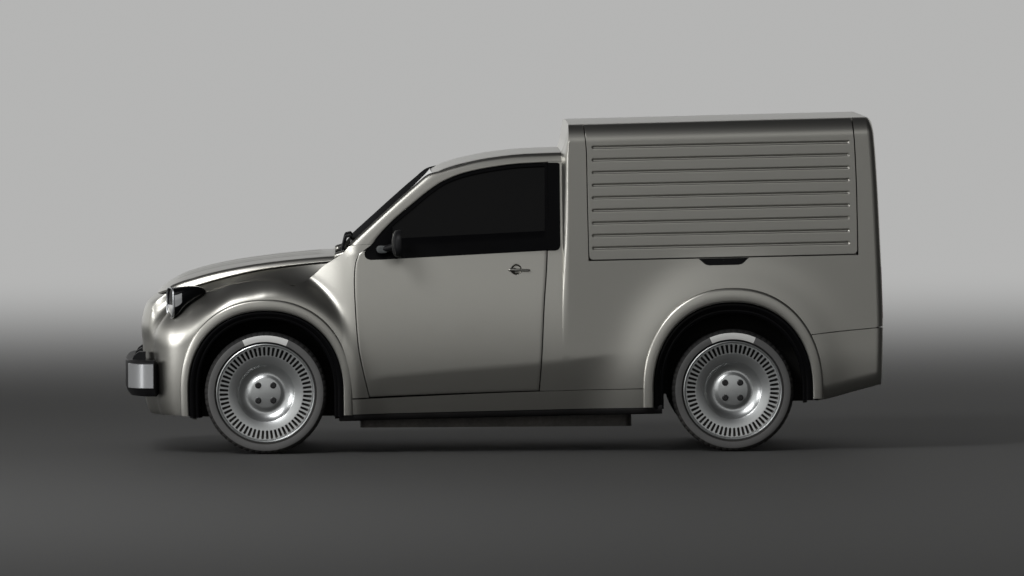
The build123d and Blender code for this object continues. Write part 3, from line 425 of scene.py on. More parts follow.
# plan point and outward normal at distance s along the body; straight behind the front axle
def planAt(s):
    x = np.where(s < van["frontAxle"], np.interp(s, planRun, planLine[:, 0]), s)
    y = np.interp(s, planRun, planLine[:, 1])
    tx = np.interp(s, planRun, planTangent[:, 0], right=1.0)
    ty = np.interp(s, planRun, planTangent[:, 1], right=0.0)
    return x, y, -ty, tx


# the side draws in towards the sill: 30 mm times the square of the share of the way down
def tuck(z):
    return -0.030 * np.clip((0.56 - z) / 0.388, 0, 1.1) ** 2


# cab side: a parabola from 0.56 m up to the belt, then a straight lean to the roof
def cabOffset(z):
    share = np.clip((z - 0.56) / 0.525, 0, 1)
    return tuck(z) - 0.042 * share**2 - 0.2527 * np.clip(z - 1.085, 0, None)


# half width of the arch-shaped curve through a point: a rounded
# oval above the axle, upright lines below it
def archSize(s, z, end):
    a = archSets[end]
    up = np.clip(z - a["height"], 0, None) * a["half"] / a["tall"]
    return (np.abs(s - a["axle"]) ** archPower + up**archPower) ** (1 / archPower)


# front fender: flat at the arch, then falling inwards with the square of the distance past the flare
def fenderBulge(s, z):
    k = bodySkin
    past = np.clip(archSize(s, z, "front") - 0.478, 0, None)
    start = lineThrough(k["shoulderStart"], s)
    crest = lineThrough([(stationOf(a), b) for a, b in k["crest"]], s)
    front = lineThrough(k["shoulderDrop"], s) * np.clip((z - start) / (crest - start), 0, 1.2) ** 2
    rearward = ease(-1.37, -1.21, s)
    return k["bulge"] + tuck(z) - front * (1 - rearward) - k["crestPull"] * past**2 * rearward


# the cab side draws in ahead of the door: a hyperbola that ends as a straight lean
def cowlPull(s):
    ahead = np.clip(-0.79 - s, 0, None) / 0.08
    return -0.6 * 0.08 * (np.sqrt(1 + ahead**2) - 1)


# below the low crease the panel leans inwards; the crease fades at both ends
def creaseOffset(s, z):
    line = lineThrough(bodySkin["lowCrease"], s)
    below = line - z
    fade = ease(-0.79, -0.62, s) * (1 - ease(0.40, 0.66, s))
    return -0.13 * fade * (below + np.sqrt(below**2 + 0.003**2)) / 2


# rear arch bulge: a bell curve of the distance past the flare
def rearBulgeOffset(s, z):
    past = np.clip(archSize(s, z, "rear") - 0.470, 0, None)
    return bodySkin["rearBulge"] * np.exp(-((past / 0.13) ** 2))


# whole side: cab side and fender bulge joined by a smooth maximum, then the crease and the rear bulge
def sideOffset(s, z):
    cab = highest(cabOffset(z) + cowlPull(s), fenderBulge(s, z), 0.006 + 0.036 * ease(-1.25, -0.95, s))
    cab = np.where(s < van["frontAxle"], fenderBulge(s, z), cab)
    return cab + creaseOffset(s, z) + rearBulgeOffset(s, z)


# left side surface: plan point plus the side offset along the plan normal; the nose leans back with height
def skin(s, z, out=0.0, offset=None):
    s, z = np.broadcast_arrays(np.asarray(s, float), np.asarray(z, float))
    x, y, nx, ny = planAt(s)
    away = (sideOffset(s, z) if offset is None else offset) + out
    lean = lineThrough(bodySkin["noseLean"], z) * nx**2
    return np.stack([x + lean + away * nx, -(y + away * ny), z], -1)


# front fenders, with the cowl side as far back as the door
doorLines = {
    "front": [(0.290, -0.725), (0.45, -0.763), (0.593, -0.789), (0.789, -0.803), (0.943, -0.808),
              (1.021, -0.803), (1.079, -0.784), (1.106, -0.757)],
    "rear": [(0.320, 0.192), (0.50, 0.207), (0.822, 0.224), (1.001, 0.237), (1.092, 0.241), (1.30, 0.247)],
    "low": [(-0.90, 0.297), (-0.73, 0.307), (0.194, 0.336), (0.814, 0.347)],
}
fender = {
    "bottom": [(-2.20, 0.214), (-1.99, 0.212), (-1.90, 0.210), (-1.70, 0.212), (-0.90, 0.213),
               (-0.876, 0.213), (-0.862, 0.300), (-0.70, 0.308)],
    "cowlTop": [(-1.137, 0.913), (-1.10, 0.928), (-1.039, 0.962), (-0.968, 1.026), (-0.938, 1.044),
                (-0.90, 1.068), (-0.861, 1.0975), (-0.833, 1.130), (-0.815, 1.136), (-0.70, 1.136)],
    "rear": doorLines["front"][:-1] + [(1.106, -0.752), (1.136, -0.710)],
}
hoodShape = {
    "centre": [(-1.885, 0.850), (-1.875, 0.858), (-1.811, 0.902), (-1.712, 0.950), (-1.515, 0.999),
               (-1.319, 1.028), (-1.157, 1.046), (-0.959, 1.062), (-0.905, 1.065)],
    "half": [(-1.87, 0.540), (-1.75, 0.562), (-1.50, 0.586), (-1.20, 0.606), (-0.905, 0.625)],
    "edgeDrop": [(-1.88, 0.014), (-1.80, 0.032), (-1.69, 0.057), (-1.50, 0.048), (-1.30, 0.036),
                 (-0.905, 0.031)],
    "wall": 0.018,
    "ribs": [0.24, 0.52],
}


# edge of the hood opening at station x: half width and height
def hoodEdge(x):
    height = lineThrough(hoodShape["centre"], x) - lineThrough(hoodShape["edgeDrop"], x)
    return lineThrough(hoodShape["half"], x), height


valleyStation = float(stationOf(bodySkin["valley"]))
share = spread((1.0, 116))[:, None]
rise = spread((0.10, 6), (0.80, 46), (1.0, 22))[None, :]
nominal = valleyStation + share * (-0.78 - valleyStation)
crestLine = [(float(stationOf(a)), b) for a, b in bodySkin["crest"]] + fender["cowlTop"][1:]
top = lineThrough(crestLine, nominal)
bottom = lineThrough(fender["bottom"], nominal)
z = bottom + rise * (top - bottom)
fenderEnd = lineThrough([(a, b - van["gap"]) for a, b in fender["rear"]], z)
s = valleyStation + share * (fenderEnd - valleyStation)
z = lineThrough(fender["bottom"], s) + rise * (lineThrough(crestLine, s) - lineThrough(fender["bottom"], s))
sides = skin(s, z)
middle = (sides[:-1, :-1] + sides[1:, 1:]) / 2
sMid = (s[:-1, :-1] + s[1:, 1:]) / 2
keep = archSize(sMid, middle[..., 2], "front") > archSets["front"]["half"] + 0.022
fenderParts = [grid(sides, keep)]
# the deck: from the crest in and up to the hood line, sagging between the two
onCrest = nominal[:, 0] < -1.137
crestPoints = sides[onCrest, -1]
tail = np.linspace(0, 1, 14)[1:, None]
crestPoints = np.vstack([crestPoints, crestPoints[-1] + tail * [0.215, 0.052, -0.018]])
across = spread((0.15, 4), (1.0, 14))[None, :, None]
half, height = hoodEdge(crestPoints[:, 0])
inner = np.stack([crestPoints[:, 0], -(half + 0.005), height - 0.002], -1)
aheadOfLamp = crestPoints[:, 0] < -1.82
inner[aheadOfLamp, 0] = -1.82 + 0.5 * (inner[aheadOfLamp, 0] + 1.82)
sag = lineThrough([(-1.90, 0.0), (-1.70, 0.004), (-1.30, 0.012), (-1.05, 0.035), (-0.90, 0.05)],
                  crestPoints[:, 0])
deck = crestPoints[:, None] * (1 - across) + inner[:, None] * across
curve = across[..., 0] * (1 - across[..., 0])
climb = (inner[:, 2] - crestPoints[:, 2])[:, None]
deck[..., 2] -= 4 * curve * sag[:, None] + 0.9 * curve * (1 - across[..., 0]) * climb
fenderParts.append(grid(deck[::-1]))
lip = deck[:, -1:, :] + np.array([0, 0.012, -0.03]) * np.linspace(0, 1, 3)[None, :, None]
fenderParts.append(grid(lip[::-1]))
bothSides("front_fender", fenderParts, bodyPaint, stands=["front_fender_SIDE"], slot="body_paint", crisp=50)
print("fenders made")

# nose panel between the fender lobes
nose = {"top": [(0.0, 0.853), (0.30, 0.857), (0.45, 0.862), (0.56, 0.866)],
        "bottom": [(0.0, 0.200), (0.6, 0.210)]}
noseStart = planRun[0]
s = noseStart + (valleyStation - noseStart) * spread((1.0, 44))[:, None]
planY = planAt(s)[1]
rise = spread((0.12, 8), (0.8, 34), (1.0, 24))[None, :]
z = lineThrough(nose["bottom"], planY) * (1 - rise) + lineThrough(nose["top"], planY) * rise
lobe = (fenderBulge(s, z) - tuck(z)) * ease(valleyStation - 0.085, valleyStation, s)
half = skin(s, z, offset=tuck(z) + lobe)
noseParts = [grid(half)]
bottomTuck = half[:, :1] + np.array([0.10, 0, -0.012]) * np.linspace(0, 1, 5)[None, :, None]
noseParts.append(grid(bottomTuck[:, ::-1]))
addPiece("nose_panel_skin", noseParts + mirrored(noseParts), bodyPaint, stands=["nose_panel"],
         slot="body_paint")

# hood lid: crown across, soft shoulders, shallow ribs along
share = spread((0.12, 12), (1.0, 60))[:, None]
across = spread((0.86, 34), (0.955, 8), (1.0, 16))
across = np.concatenate([-across[::-1][:-1], across])[None, :]
frontEdge = -1.878 + 0.060 * np.abs(across) ** 2.6
x = frontEdge + share * (-0.911 - frontEdge)
halfWide, _ = hoodEdge(x)
y = across * (halfWide - van["gap"])
size = np.abs(across)
wallPart = (size - 0.981) / 0.019
wallPart = (wallPart + np.sqrt(wallPart**2 + 0.10)) / 2.048
fall = lineThrough(hoodShape["edgeDrop"], x) * (0.44 * size**2.4 + 0.56 * wallPart)
ribs = sum(np.exp(-(((size - r) / 0.022) ** 2)) for r in hoodShape["ribs"])
ribs = 0.0035 * ribs * ease(0.04, 0.14, share) * (1 - ease(0.90, 0.97, share))
z = lineThrough(hoodShape["centre"], x) - fall + ribs
z -= 0.010 * (1 - ease(0, 0.03, share))
addPiece("hood_lid_skin", [grid(np.stack([x, y, z], -1)[:, ::-1])], bodyPaint, "hood_lid", ["hood"],
         "body_paint", wall=hoodShape["wall"], rounding=0.002)
print("nose and hood made")


# wheel arches: painted flare, black lip and dark liner

# a profile carried up one leg, round the arch and down the other:
# columns beside, above and out from the edge
def archSheet(end, beside, above, offset, count=130, ends=None, flat=False):
    a = archSets[end]
    across, up = a["half"] + np.array(beside, float), a["tall"] + np.array(above, float)
    offset = np.array(offset, float)
    low = a["ends"] if ends is None else ends
    arc = np.linspace(math.pi, 0, count)[:, None]
    c, r = np.cos(arc), np.clip(np.sin(arc), 0, None)
    leg = np.linspace(0, 1, 7)[:-1, None]
    s = np.vstack([a["axle"] - across + 0 * leg,
                   a["axle"] + across * np.sign(c) * np.abs(c) ** (2 / archPower),
                   a["axle"] + across + 0 * leg])
    level = np.vstack([low[0] + (a["height"] - low[0]) * leg + 0 * across,
                       a["height"] + up * r ** (2 / archPower),
                       low[1] + (a["height"] - low[1]) * leg[::-1] + 0 * across])
    if flat:
        return np.stack([s, -np.broadcast_to(offset, s.shape), level], -1)
    return skin(s, level, out=offset, offset=0.45 * tuck(level))


for end, a in archSets.items():
    wide, tall, stand = a["flareSide"], a["flareTop"], a["stand"]
    share = np.array([0, 0, 0.04, 0.15, 0.80, 0.93, 1.0, 1.05])
    out = np.array([-0.035, stand - 0.006, stand - 0.0015, stand, stand - 0.001, stand - 0.004,
                    stand - 0.010, -0.025])
    bothSides(f"{end}_flare", [grid(archSheet(end, wide * share, tall * share, out))], bodyPaint,
              slot="body_paint", crisp=60)
    share = np.array([-0.02, 0.02, 0.17, 0.42, 0.57, 0.66, 0.84, 0.96, 1.0, 1.0])
    out = [-0.03, 0.006, 0.010, 0.009, 0.004, -0.006, -0.004, -0.008, -0.014, -0.075]
    ends = (a["ends"][0] - 0.010, a["ends"][1] - 0.010)
    lipSheet = archSheet(end, -a["lipSide"] * share, -a["lipTop"] * share, out, ends=ends)
    bothSides(f"{end}_arch_lip", [grid(lipSheet)], blackGloss, slot="black_plastic", crisp=60)
    beside = np.array([0.004, 0.02, 0.03, 0.03]) - a["lipSide"]
    housing = archSheet(end, beside, beside, [0.80, 0.78, 0.74, a["deep"]], 80, a["wallEnds"], flat=True)
    fall = np.array([0.03 - a["lipSide"], 0.305 - a["half"]])
    wall = archSheet(end, fall, fall, [a["deep"]] * 2, 80, a["wallEnds"], flat=True)
    fall = np.array([0.305, 0.18, 0.10]) - a["half"]
    middleWall = archSheet(end, fall, fall, [a["deep"]] * 3, 80, (a["height"] + 0.02,) * 2, flat=True)
    bothSides(f"{end}_arch_liner", [grid(housing), grid(wall), grid(middleWall)], archDark,
              slot="black_plastic")
print("arches made")


# points along straight runs, with the given number of steps in each
def straight(points, steps):
    points = np.array(points, float)
    made = [points[:1]]
    for a, b, n in zip(points[:-1], points[1:], steps):
        made.append(a + (b - a) * (np.arange(n) + 1)[:, None] / n)
    return np.vstack(made)


# a bar along a path: an ellipse at every point, flat times as
# high as wide; a radius of nothing closes an end
def rod(path, radius, flat=1.0, count=16, up=(0, 0, 1)):
    path = np.array(path, float)
    radius = np.broadcast_to(np.asarray(radius, float), len(path))
    run = np.gradient(path, axis=0)
    run /= np.linalg.norm(run, axis=1)[:, None]
    side = np.cross(run, up)
    side /= np.linalg.norm(side, axis=1)[:, None]
    top = np.cross(side, run)
    angle = np.linspace(0, 2 * math.pi, count, endpoint=False)[:, None, None]
    ring = path + radius[:, None] * (np.cos(angle) * side + flat * np.sin(angle) * top)
    return grid(ring[::-1], closed=True)


# radius share along a bar with rounded ends: a quarter circle over each end's share of the length
def pill(share, end=0.12):
    t = np.clip(np.minimum(share, 1 - share) / end, 0, 1)
    return np.sqrt(np.clip(1 - (1 - t) ** 2, 0, 1))


# cab doors
door = {"wall": 0.045, "cup": (0.073, 0.997, 0.029), "cupDepth": 0.017,
        "band": 0.036,  # fine rows this far above and below the handle
        "top": [(-0.812, 1.050), (-0.79, 1.084), (-0.757, 1.104), (-0.735, 1.098), (-0.70, 1.070),
                (0.26, 1.112)]}
share = spread((0.03, 3), (0.80, 48), (0.875, 22), (1.0, 8))[:, None]
rows = np.concatenate([spread((1.0, 10))[None, :] - 1, spread((1.0, 28))[None, 1:]], 1)
nominal = doorLines["front"][3][1] + share * (doorLines["rear"][3][1] - doorLines["front"][3][1])
fine = spread((0.12, 3), (0.88, 24), (1.0, 2))[None, 1:]


# heights of the door's rows at x: up to the crease, up to the handle, past it, and on to the hidden top
def doorHeights(x):
    low = lineThrough(doorLines["low"], x) + van["gap"]
    crease = lineThrough(bodySkin["lowCrease"], x)
    handle = door["cup"][1]
    top = lineThrough(door["top"], x)
    first = crease + rows[:, :11] * (crease - low)
    second = crease + rows[:, 11:] * (handle - door["band"] - crease)
    third = handle - door["band"] + fine * 2 * door["band"]
    last = handle + door["band"] + spread((1.0, 6))[None, 1:] * (top - handle - door["band"])
    return np.concatenate([first, second, third + 0 * x, last], 1)


z = doorHeights(nominal)
for _ in range(2):
    front = lineThrough([(a, b + van["gap"]) for a, b in doorLines["front"]], z)
    rear = lineThrough([(a, b - van["gap"]) for a, b in doorLines["rear"]], z)
    x = front + share * (rear - front)
    z = np.stack([doorHeights(x[:, j:j + 1])[:, j] for j in range(x.shape[1])], 1)
cupX, cupZ, cupR = door["cup"]
cup = np.hypot(x - cupX, z - cupZ) / cupR
panel = skin(x, z, out=-door["cupDepth"] * (1 - ease(0.70, 1.0, cup)))
bothSides("door_skin", [grid(panel)], bodyPaint, "cab_door_SIDE", ["door_SIDE"], slot="body_paint",
          wall=door["wall"], rounding=0.0015, crisp=28)
step = np.linspace(0, 1, 22)
leverX = 0.026 + 0.124 * step
leverPath = skin(leverX, 0.997 - 0.004 * step, out=0.012 - 0.002 * np.abs(2 * step - 1))
lever = rod(leverPath, 0.0085 * pill(step, 0.10) * (1 - 0.25 * step), flat=1.25, up=(0, 1, 0))
stem = rod(skin([0.062, 0.062], 0.996, out=np.array([-0.016, 0.012])), 0.010)
bothSides("door_lever", [lever, stem], bodyPaint, "cab_door_SIDE", slot="body_paint")
cardX, cardZ = np.linspace(-0.70, 0.17, 30)[:, None], np.linspace(0.37, 1.055, 24)[None, :]
rest = 0.035 * np.exp(-(((cardZ - 0.80) / 0.045) ** 2))
rest = rest * ease(-0.55, -0.40, cardX) * (1 - ease(0.05, 0.14, cardX))
card = skin(cardX, cardZ, out=-0.048 - rest)
bothSides("door_card", [grid(card[::-1])], cabinPlastic, "cab_door_SIDE", slot="cabin_plastic", wall=0.006)

# the black window frame, wider below the glass and at the mirror, and the glass inside it
curveOut = [(0.2475, 1.5735), (0.100, 1.5655), (-0.073, 1.5445), (-0.203, 1.5175), (-0.316, 1.477),
            (-0.386, 1.433), (-0.507, 1.337), (-0.594, 1.264)]
curveIn = [(0.229, 1.553), (0.100, 1.5475), (-0.073, 1.5265), (-0.199, 1.5005), (-0.309, 1.461),
           (-0.376, 1.418), (-0.495, 1.322), (-0.583, 1.250)]
bend = np.linspace(0, 1, 61)
frameOut = np.vstack([
    straight([(-0.7540, 1.0810), (-0.7510, 1.0690), (-0.7420, 1.0585), (-0.7220, 1.0515), (-0.655, 1.0530),
              (0.2475, 1.0975), (0.2475, 1.5735)], [2, 2, 2, 2, 38, 16])[:-1],
    pathThrough(curveOut, bend),
    straight([(-0.594, 1.264), (-0.681, 1.173), (-0.7540, 1.0935)], [6, 6])[1:],
])
frameIn = np.vstack([
    straight([(-0.600, 1.1600), (-0.600, 1.1640), (-0.600, 1.1660), (-0.600, 1.1675), (-0.57, 1.1695),
              (0.229, 1.205), (0.229, 1.553)], [2, 2, 2, 2, 38, 16])[:-1],
    pathThrough(curveIn, bend),
    straight([(-0.583, 1.250), (-0.600, 1.236), (-0.600, 1.200)], [6, 6])[1:],
])
w = np.array([0, 0, 0.02, 0.3, 0.6, 0.94, 1, 1])[None, :, None]
out = np.array([-0.030, -0.002, 0.001, 0.001, 0.001, 0.001, -0.001, -0.014])[None, :]
ring = frameOut[:, None] * (1 - w) + frameIn[:, None] * w
bothSides("window_frame", [grid(skin(ring[..., 0], ring[..., 1], out=out), closed=True)], blackGloss,
          "cab_door_SIDE", slot="black_plastic", crisp=40)
backing = np.stack([frameOut + (frameIn - frameOut) * k for k in (0.04, 0.5, 0.98)], 1)
inside = skin(backing[..., 0], backing[..., 1], out=np.array([-0.034, -0.040, -0.036])[None, :])
bothSides("window_frame_inner", [grid(inside[:, ::-1], closed=True)], blackPlastic, "cab_door_SIDE",
          slot="black_plastic", wall=0.02)
x = np.linspace(-0.604, 0.233, 70)[:, None]
low = 1.168 + (x + 0.600) * 0.0446 - 0.006
high = lineThrough(sorted(curveIn[1:]) + [(0.24, 1.553)], x)
high = np.where(x < -0.583, 1.250 + (x + 0.583) * 0.82, high) + 0.005
z = low + np.linspace(0, 1, 24)[None, :] * (high - low)
tint = finish("tinted window glass", (0.006, 0.006, 0.0063), (0.008, 0.008, 0.0083), 0.03, 0.01, 300, 3,
              0.0, Transmission_Weight=0.40, IOR=1.45, Specular_IOR_Level=0.20)
bothSides("window_glass", [grid(skin(x, z, out=-0.009))], tint, "cab_door_SIDE", ["window_SIDE"],
          slot="tinted_glass", wall=0.004)
print("doors made")

# pillars, cant rails and the black covers beside the windows
cant = {"roofHalf": 0.672, "screenFoot": (-0.831, 1.089), "screenHead": (-0.392, 1.509)}
stripIn = [(-0.710, 1.138), (-0.683, 1.176), (-0.596, 1.267), (-0.509, 1.340), (-0.388, 1.436),
           (-0.318, 1.479), (-0.204, 1.5215), (-0.073, 1.5485), (0.100, 1.5695), (0.322, 1.579)]
stripOut = [(-0.836, 1.136), (-0.789, 1.179), (-0.690, 1.268), (-0.598, 1.351), (-0.470, 1.462),
            (-0.398, 1.517), (-0.330, 1.5345), (-0.262, 1.5545), (-0.090, 1.5940), (0.103, 1.6150),
            (0.322, 1.622)]
bend = np.linspace(0, 1, 90)
edgeIn, edgeOut = pathThrough(stripIn, bend), pathThrough(stripOut, bend)
w = np.array([0, 0, 0.02, 0.2, 0.45, 0.65, 0.8, 0.9, 0.96, 1.0])[None, :, None]
out = np.array([-0.028, -0.001, 0, 0, 0, -0.0005, -0.002, -0.0055, -0.010, -0.018])[None, :]
strip = edgeIn[:, None] * (1 - w) + edgeOut[:, None] * w
pillar = skin(strip[..., 0], strip[..., 1], out=out, offset=cabOffset(strip[..., 1]) + 0 * strip[..., 0])
pillarEnd = pillar[:, -1]
bothSides("roof_side_rail", [grid(pillar)], bodyPaint, slot="body_paint", crisp=60)


# windscreen: a flat lean with a shallow bow across it; rise runs up the screen, across is y in metres
def screenPoint(rise, across):
    (x0, z0), (x1, z1) = cant["screenFoot"], cant["screenHead"]
    x = x0 + (x1 - x0) * rise - 0.030 * (1 - (across / 0.80) ** 2) * 0.35 + 0.010
    return surface(x, across, z0 + (z1 - z0) * rise)


onPillar = bend < 0.50
foot = pillarEnd[onPillar]
riseAt = np.clip((foot[:, 2] - 1.089 - 0.012) / 0.420, 0.0, 1)[:, None]
glassEdge = screenPoint(riseAt[:, 0], foot[:, 1] + 0.040)
w = spread((0.25, 3), (1.0, 6))[None, :, None]
trim = foot[:, None] * (1 - w) + glassEdge[:, None] * w
trim[..., 2] -= 0.004 * np.sin(math.pi * w[..., 0])
bothSides("screen_pillar_trim", [grid(trim)], blackPlastic, slot="black_plastic")
rise = np.linspace(-0.03, 1.02, 40)[:, None]
reach = np.interp(rise, riseAt[:, 0], np.abs(foot[:, 1]) - 0.030)
screen = screenPoint(rise, -reach * np.linspace(-1, 1, 48)[None, :])
addPiece("windscreen", [grid(screen)], tint, stands=["windshield"], slot="tinted_glass", wall=0.006)

# cab roof with its gutters
roofLine = [(-0.392, 1.506), (-0.378, 1.517), (-0.322, 1.547), (-0.190, 1.5845), (-0.058, 1.6090),
            (0.118, 1.6270), (0.322, 1.6340), (0.345, 1.6345)]
x = lineThrough([(0, -0.392), (0.04, -0.384), (1, 0.345)], spread((0.05, 5), (1.0, 60)))[:, None]
across = np.linspace(-1, 1, 49)[None, :]
across = np.sign(across) * np.abs(across) ** 0.8
crown = 0.004 * across**2 + 0.004 * ease(0.965, 1.0, np.abs(across))
roofTop = surface(x, across * cant["roofHalf"], lineThrough(roofLine, x) - crown)
addPiece("cab_roof_skin", [grid(roofTop)], bodyPaint, stands=["cab_roof"], slot="body_paint", wall=0.02)
onRoof = pillarEnd[:, 0] > -0.400
rail = pillarEnd[onRoof]
inner = np.stack([rail[:, 0], -cant["roofHalf"] + 0 * rail[:, 0],
                  lineThrough(roofLine, rail[:, 0]) - 0.0085], -1)
floorLevel = np.minimum(rail[:, 2], inner[:, 2]) - 0.012
gutter = np.stack([rail, np.stack([rail[:, 0], rail[:, 1] + 0.001, floorLevel], -1),
                   np.stack([inner[:, 0], inner[:, 1] - 0.002, floorLevel], -1), inner - [0, 0.002, 0],
                   inner + [0, 0.004, 0.0015]], 1)
bothSides("roof_gutter", [grid(gutter)], blackSeal, slot="black_plastic")
headLining = roofTop[3:-1, 2:-2] - [0, 0, 0.045]
addPiece("head_lining", [grid(headLining[:, ::-1])], cabinPlastic, slot="cabin_plastic", wall=0.005)
print("roof made")

# cargo box: a section from the sill over the roof edge to the centreline, with its front and rear corners
box = {
    "edge": 0.092, "seam": 0.787, "front": 0.322, "deep": 0.037, "rearRound": 0.036,
    "height": [(0.359, 1.782), (2.02, 1.8155)],
    "rear": [(0.27, 2.046), (0.365, 2.055), (0.52, 2.062), (0.692, 2.065), (0.921, 2.060), (1.15, 2.051),
             (1.402, 2.040), (1.608, 2.028), (1.76, 2.015), (1.817, 2.008)],
    "hatchFront": [(1.044, 0.4668), (1.074, 0.466), (1.374, 0.460), (1.623, 0.456), (1.798, 0.441),
                   (1.84, 0.437)],
    "hatchRear": [(1.044, 1.9285), (1.091, 1.928), (1.428, 1.922), (1.677, 1.912), (1.821, 1.899),
                  (1.84, 1.897)],
    "hatchLow": [(0.481, 1.0445), (1.90, 1.0692)],
    "bumperLine": [(1.60, 0.625), (1.617, 0.628), (1.831, 0.652), (2.06, 0.673)],
    "doorHalf": 0.795, "doorTop": 1.738, "doorLow": 0.697,
}


# box side: plumb above 0.56 m, with the sill tuck, the low crease and the rear arch bulge
def boxOffset(s, z):
    return tuck(z) + creaseOffset(s, z) + rearBulgeOffset(s, z)


# left half of the box section at x: t is the height up the side,
# then the length round the edge to the centre
def boxPoint(x, t, out=0.0):
    x, t = np.broadcast_arrays(np.asarray(x, float), np.asarray(t, float))
    r = box["edge"]
    high = lineThrough(box["height"], x)
    turn = np.clip((t - (high - r)) / r, 0, math.pi / 2)
    past = np.clip(t - (high - r) - r * math.pi / 2, 0, van["halfWidth"] - r)
    y = van["halfWidth"] - r * (1 - np.cos(turn)) - past
    crown = np.clip(1.8158 - high, 0, 0.010)
    z = np.minimum(t, high - r) + r * np.sin(turn) + crown * (1 - (y / 0.80) ** 2) * (past > 0)
    side = t < high - r
    y = y + np.where(side, boxOffset(x, np.minimum(t, high - r)), 0)
    normal = np.stack([0 * y, -np.cos(turn), np.sin(turn)], -1)
    return np.stack([x, -y, z], -1) + np.asarray(out)[..., None] * normal


# the section length t at which the box reaches the half width y:
# on the rounded edge, or on the roof past it
def sectionEnd(x, y):
    r, inward = box["edge"], van["halfWidth"] - y
    onEdge = math.acos(max(1 - inward / r, 0)) * r
    return lineThrough(box["height"], x) - r + onEdge + max(inward - r, 0)


sideX = 0.359  # where the flat side starts, behind the rounded front corner
# the outline of the cab where the box meets it: top of the side,
# foot and top of the roof, half width at both
cabEnd = {"side": 1.579, "roofFoot": 1.622, "roof": 1.6345, "half": (0.690, 0.672)}
arcStart = box["height"][0][1] - box["edge"]
tSide = np.concatenate([np.linspace(0.340, cabEnd["side"], 52),
                        np.linspace(cabEnd["side"], arcStart, 8)[1:]])
tArc = arcStart + box["edge"] * math.pi / 2 * np.linspace(0, 1, 12)[1:]
tRoof = tArc[-1] + (van["halfWidth"] - box["edge"]) * np.linspace(0, 1, 16)[1:]
t = np.concatenate([tSide, tArc, tRoof])
outer = boxPoint(sideX, t)
pastSide = t - cabEnd["side"]
innerZ = np.where(pastSide < 0, t, np.minimum(cabEnd["side"] + pastSide * 0.34, cabEnd["roofFoot"]))
innerY = van["halfWidth"] + sideOffset(box["front"] + 0 * t, innerZ)
onTop = t > tArc[-1] - 1e-6
half = np.abs(outer[:, 1]) * cant["roofHalf"] / (van["halfWidth"] - box["edge"])
onArc = np.interp(t, (arcStart, tArc[-1]), cabEnd["half"])
innerY = np.where(onTop, half, np.where(t > arcStart, onArc, innerY))
innerZ = np.where(onTop, cabEnd["roof"] - 0.004 * (half / cant["roofHalf"]) ** 2, innerZ)
turn = np.linspace(0, math.pi / 2, 15)[:, None]
w = np.sin(turn)
upward = np.clip((t - 1.60) / 0.13, 0, 1)[None, :]
slope = lineThrough([(0, 0), (0.12, 0.22), (0.3, 0.45), (0.6, 0.68), (0.85, 0.88), (1, 1)], w)
deep = (1 - np.cos(turn)) * (1 - upward) + upward * slope
cornerFront = np.stack([
    box["front"] + box["deep"] * deep,
    -(innerY * (1 - w) + np.abs(outer[:, 1]) * w),
    innerZ * (1 - w) + outer[:, 2] * w,
], -1)
frontParts = [grid(cornerFront)]
# between the door and the box
share = np.linspace(0, 1, 8)[:, None]
low = lineThrough(doorLines["low"], 0.26)
z = low + spread((1.0, 70))[None, :] * (cabEnd["side"] - low)
rear = lineThrough([(a, b + van["gap"]) for a, b in doorLines["rear"]] + [(1.60, 0.252)], z)
between = skin(rear + share * (box["front"] - rear), z)
frontParts.append(grid(between))
cover = {"to": 0.313, "low": 1.0980, "high": 1.5735, "lowRound": 0.030, "highRound": 0.012}
z = cover["low"] + spread((0.08, 12), (0.95, 30), (1.0, 8))[None, :] * (cover["high"] - cover["low"])
lowPart = np.clip((cover["low"] + cover["lowRound"] - z) / cover["lowRound"], 0, 1)
highPart = np.clip((z - cover["high"] + cover["highRound"]) / cover["highRound"], 0, 1)
reach = cover["to"] - cover["lowRound"] * (1 - np.sqrt(1 - lowPart**2))
reach = reach - cover["highRound"] * (1 - np.sqrt(1 - highPart**2))
coverFrom = lineThrough([(a, b + van["gap"] * 0.5) for a, b in doorLines["rear"]], z)
x = coverFrom + np.array([0, 0, 0.5, 1, 1])[:, None] * (reach - coverFrom)
pillarCover = skin(x, z, out=np.array([-0.003, 0.0016, 0.0016, 0.0016, -0.003])[:, None])
bothSides("pillar_cover", [grid(pillarCover)], blackGloss, slot="black_plastic", crisp=40)

# side panel round the hatch: ahead of it, below it and behind it
gap = van["gap"]


# the section length at the roof seam
def seamAt(x):
    return sectionEnd(x, box["seam"])


# x on the hatch's front or rear line at section length t; over the roof edge the line runs straight on
def hatchLine(kind, x, t, shift):
    return lineThrough(box[kind], np.minimum(t, 1.84)) + shift


tUp = np.concatenate([spread((1.0, 40)), 1 + spread((1.0, 18))[1:]])


# section lengths at x from a first height up the side, then round the edge to the seam
def sectionRows(x, first):
    high = lineThrough(box["height"], x) - box["edge"]
    k = tUp[None, :]
    return np.where(k <= 1, first + k * (high - first), high + (k - 1) * (seamAt(x) - high))


# height of the hatch's low shut line
def lowAt(x):
    return lineThrough(box["hatchLow"], x)


# box sheet between two lines x(t), from the height first(x) to the roof seam
def sheetBetween(lineA, lineB, steps, first):
    share = spread((1.0, steps))[:, None]
    x = 0.5 + 0 * share + 0 * tUp[None, :]
    for _ in range(3):
        t = sectionRows(x, first(x))
        x = lineA(x, t) + share * (lineB(x, t) - lineA(x, t))
    return x, sectionRows(x, first(x))


# x where the rear corner's rounding starts
def rearEdge(x, t):
    return lineThrough(box["rear"], boxPoint(x, t)[..., 2]) - box["rearRound"]


# the strips beside the hatch start at the same height as the hatch's low gap
def stripFoot(x):
    return lowAt(x) - gap


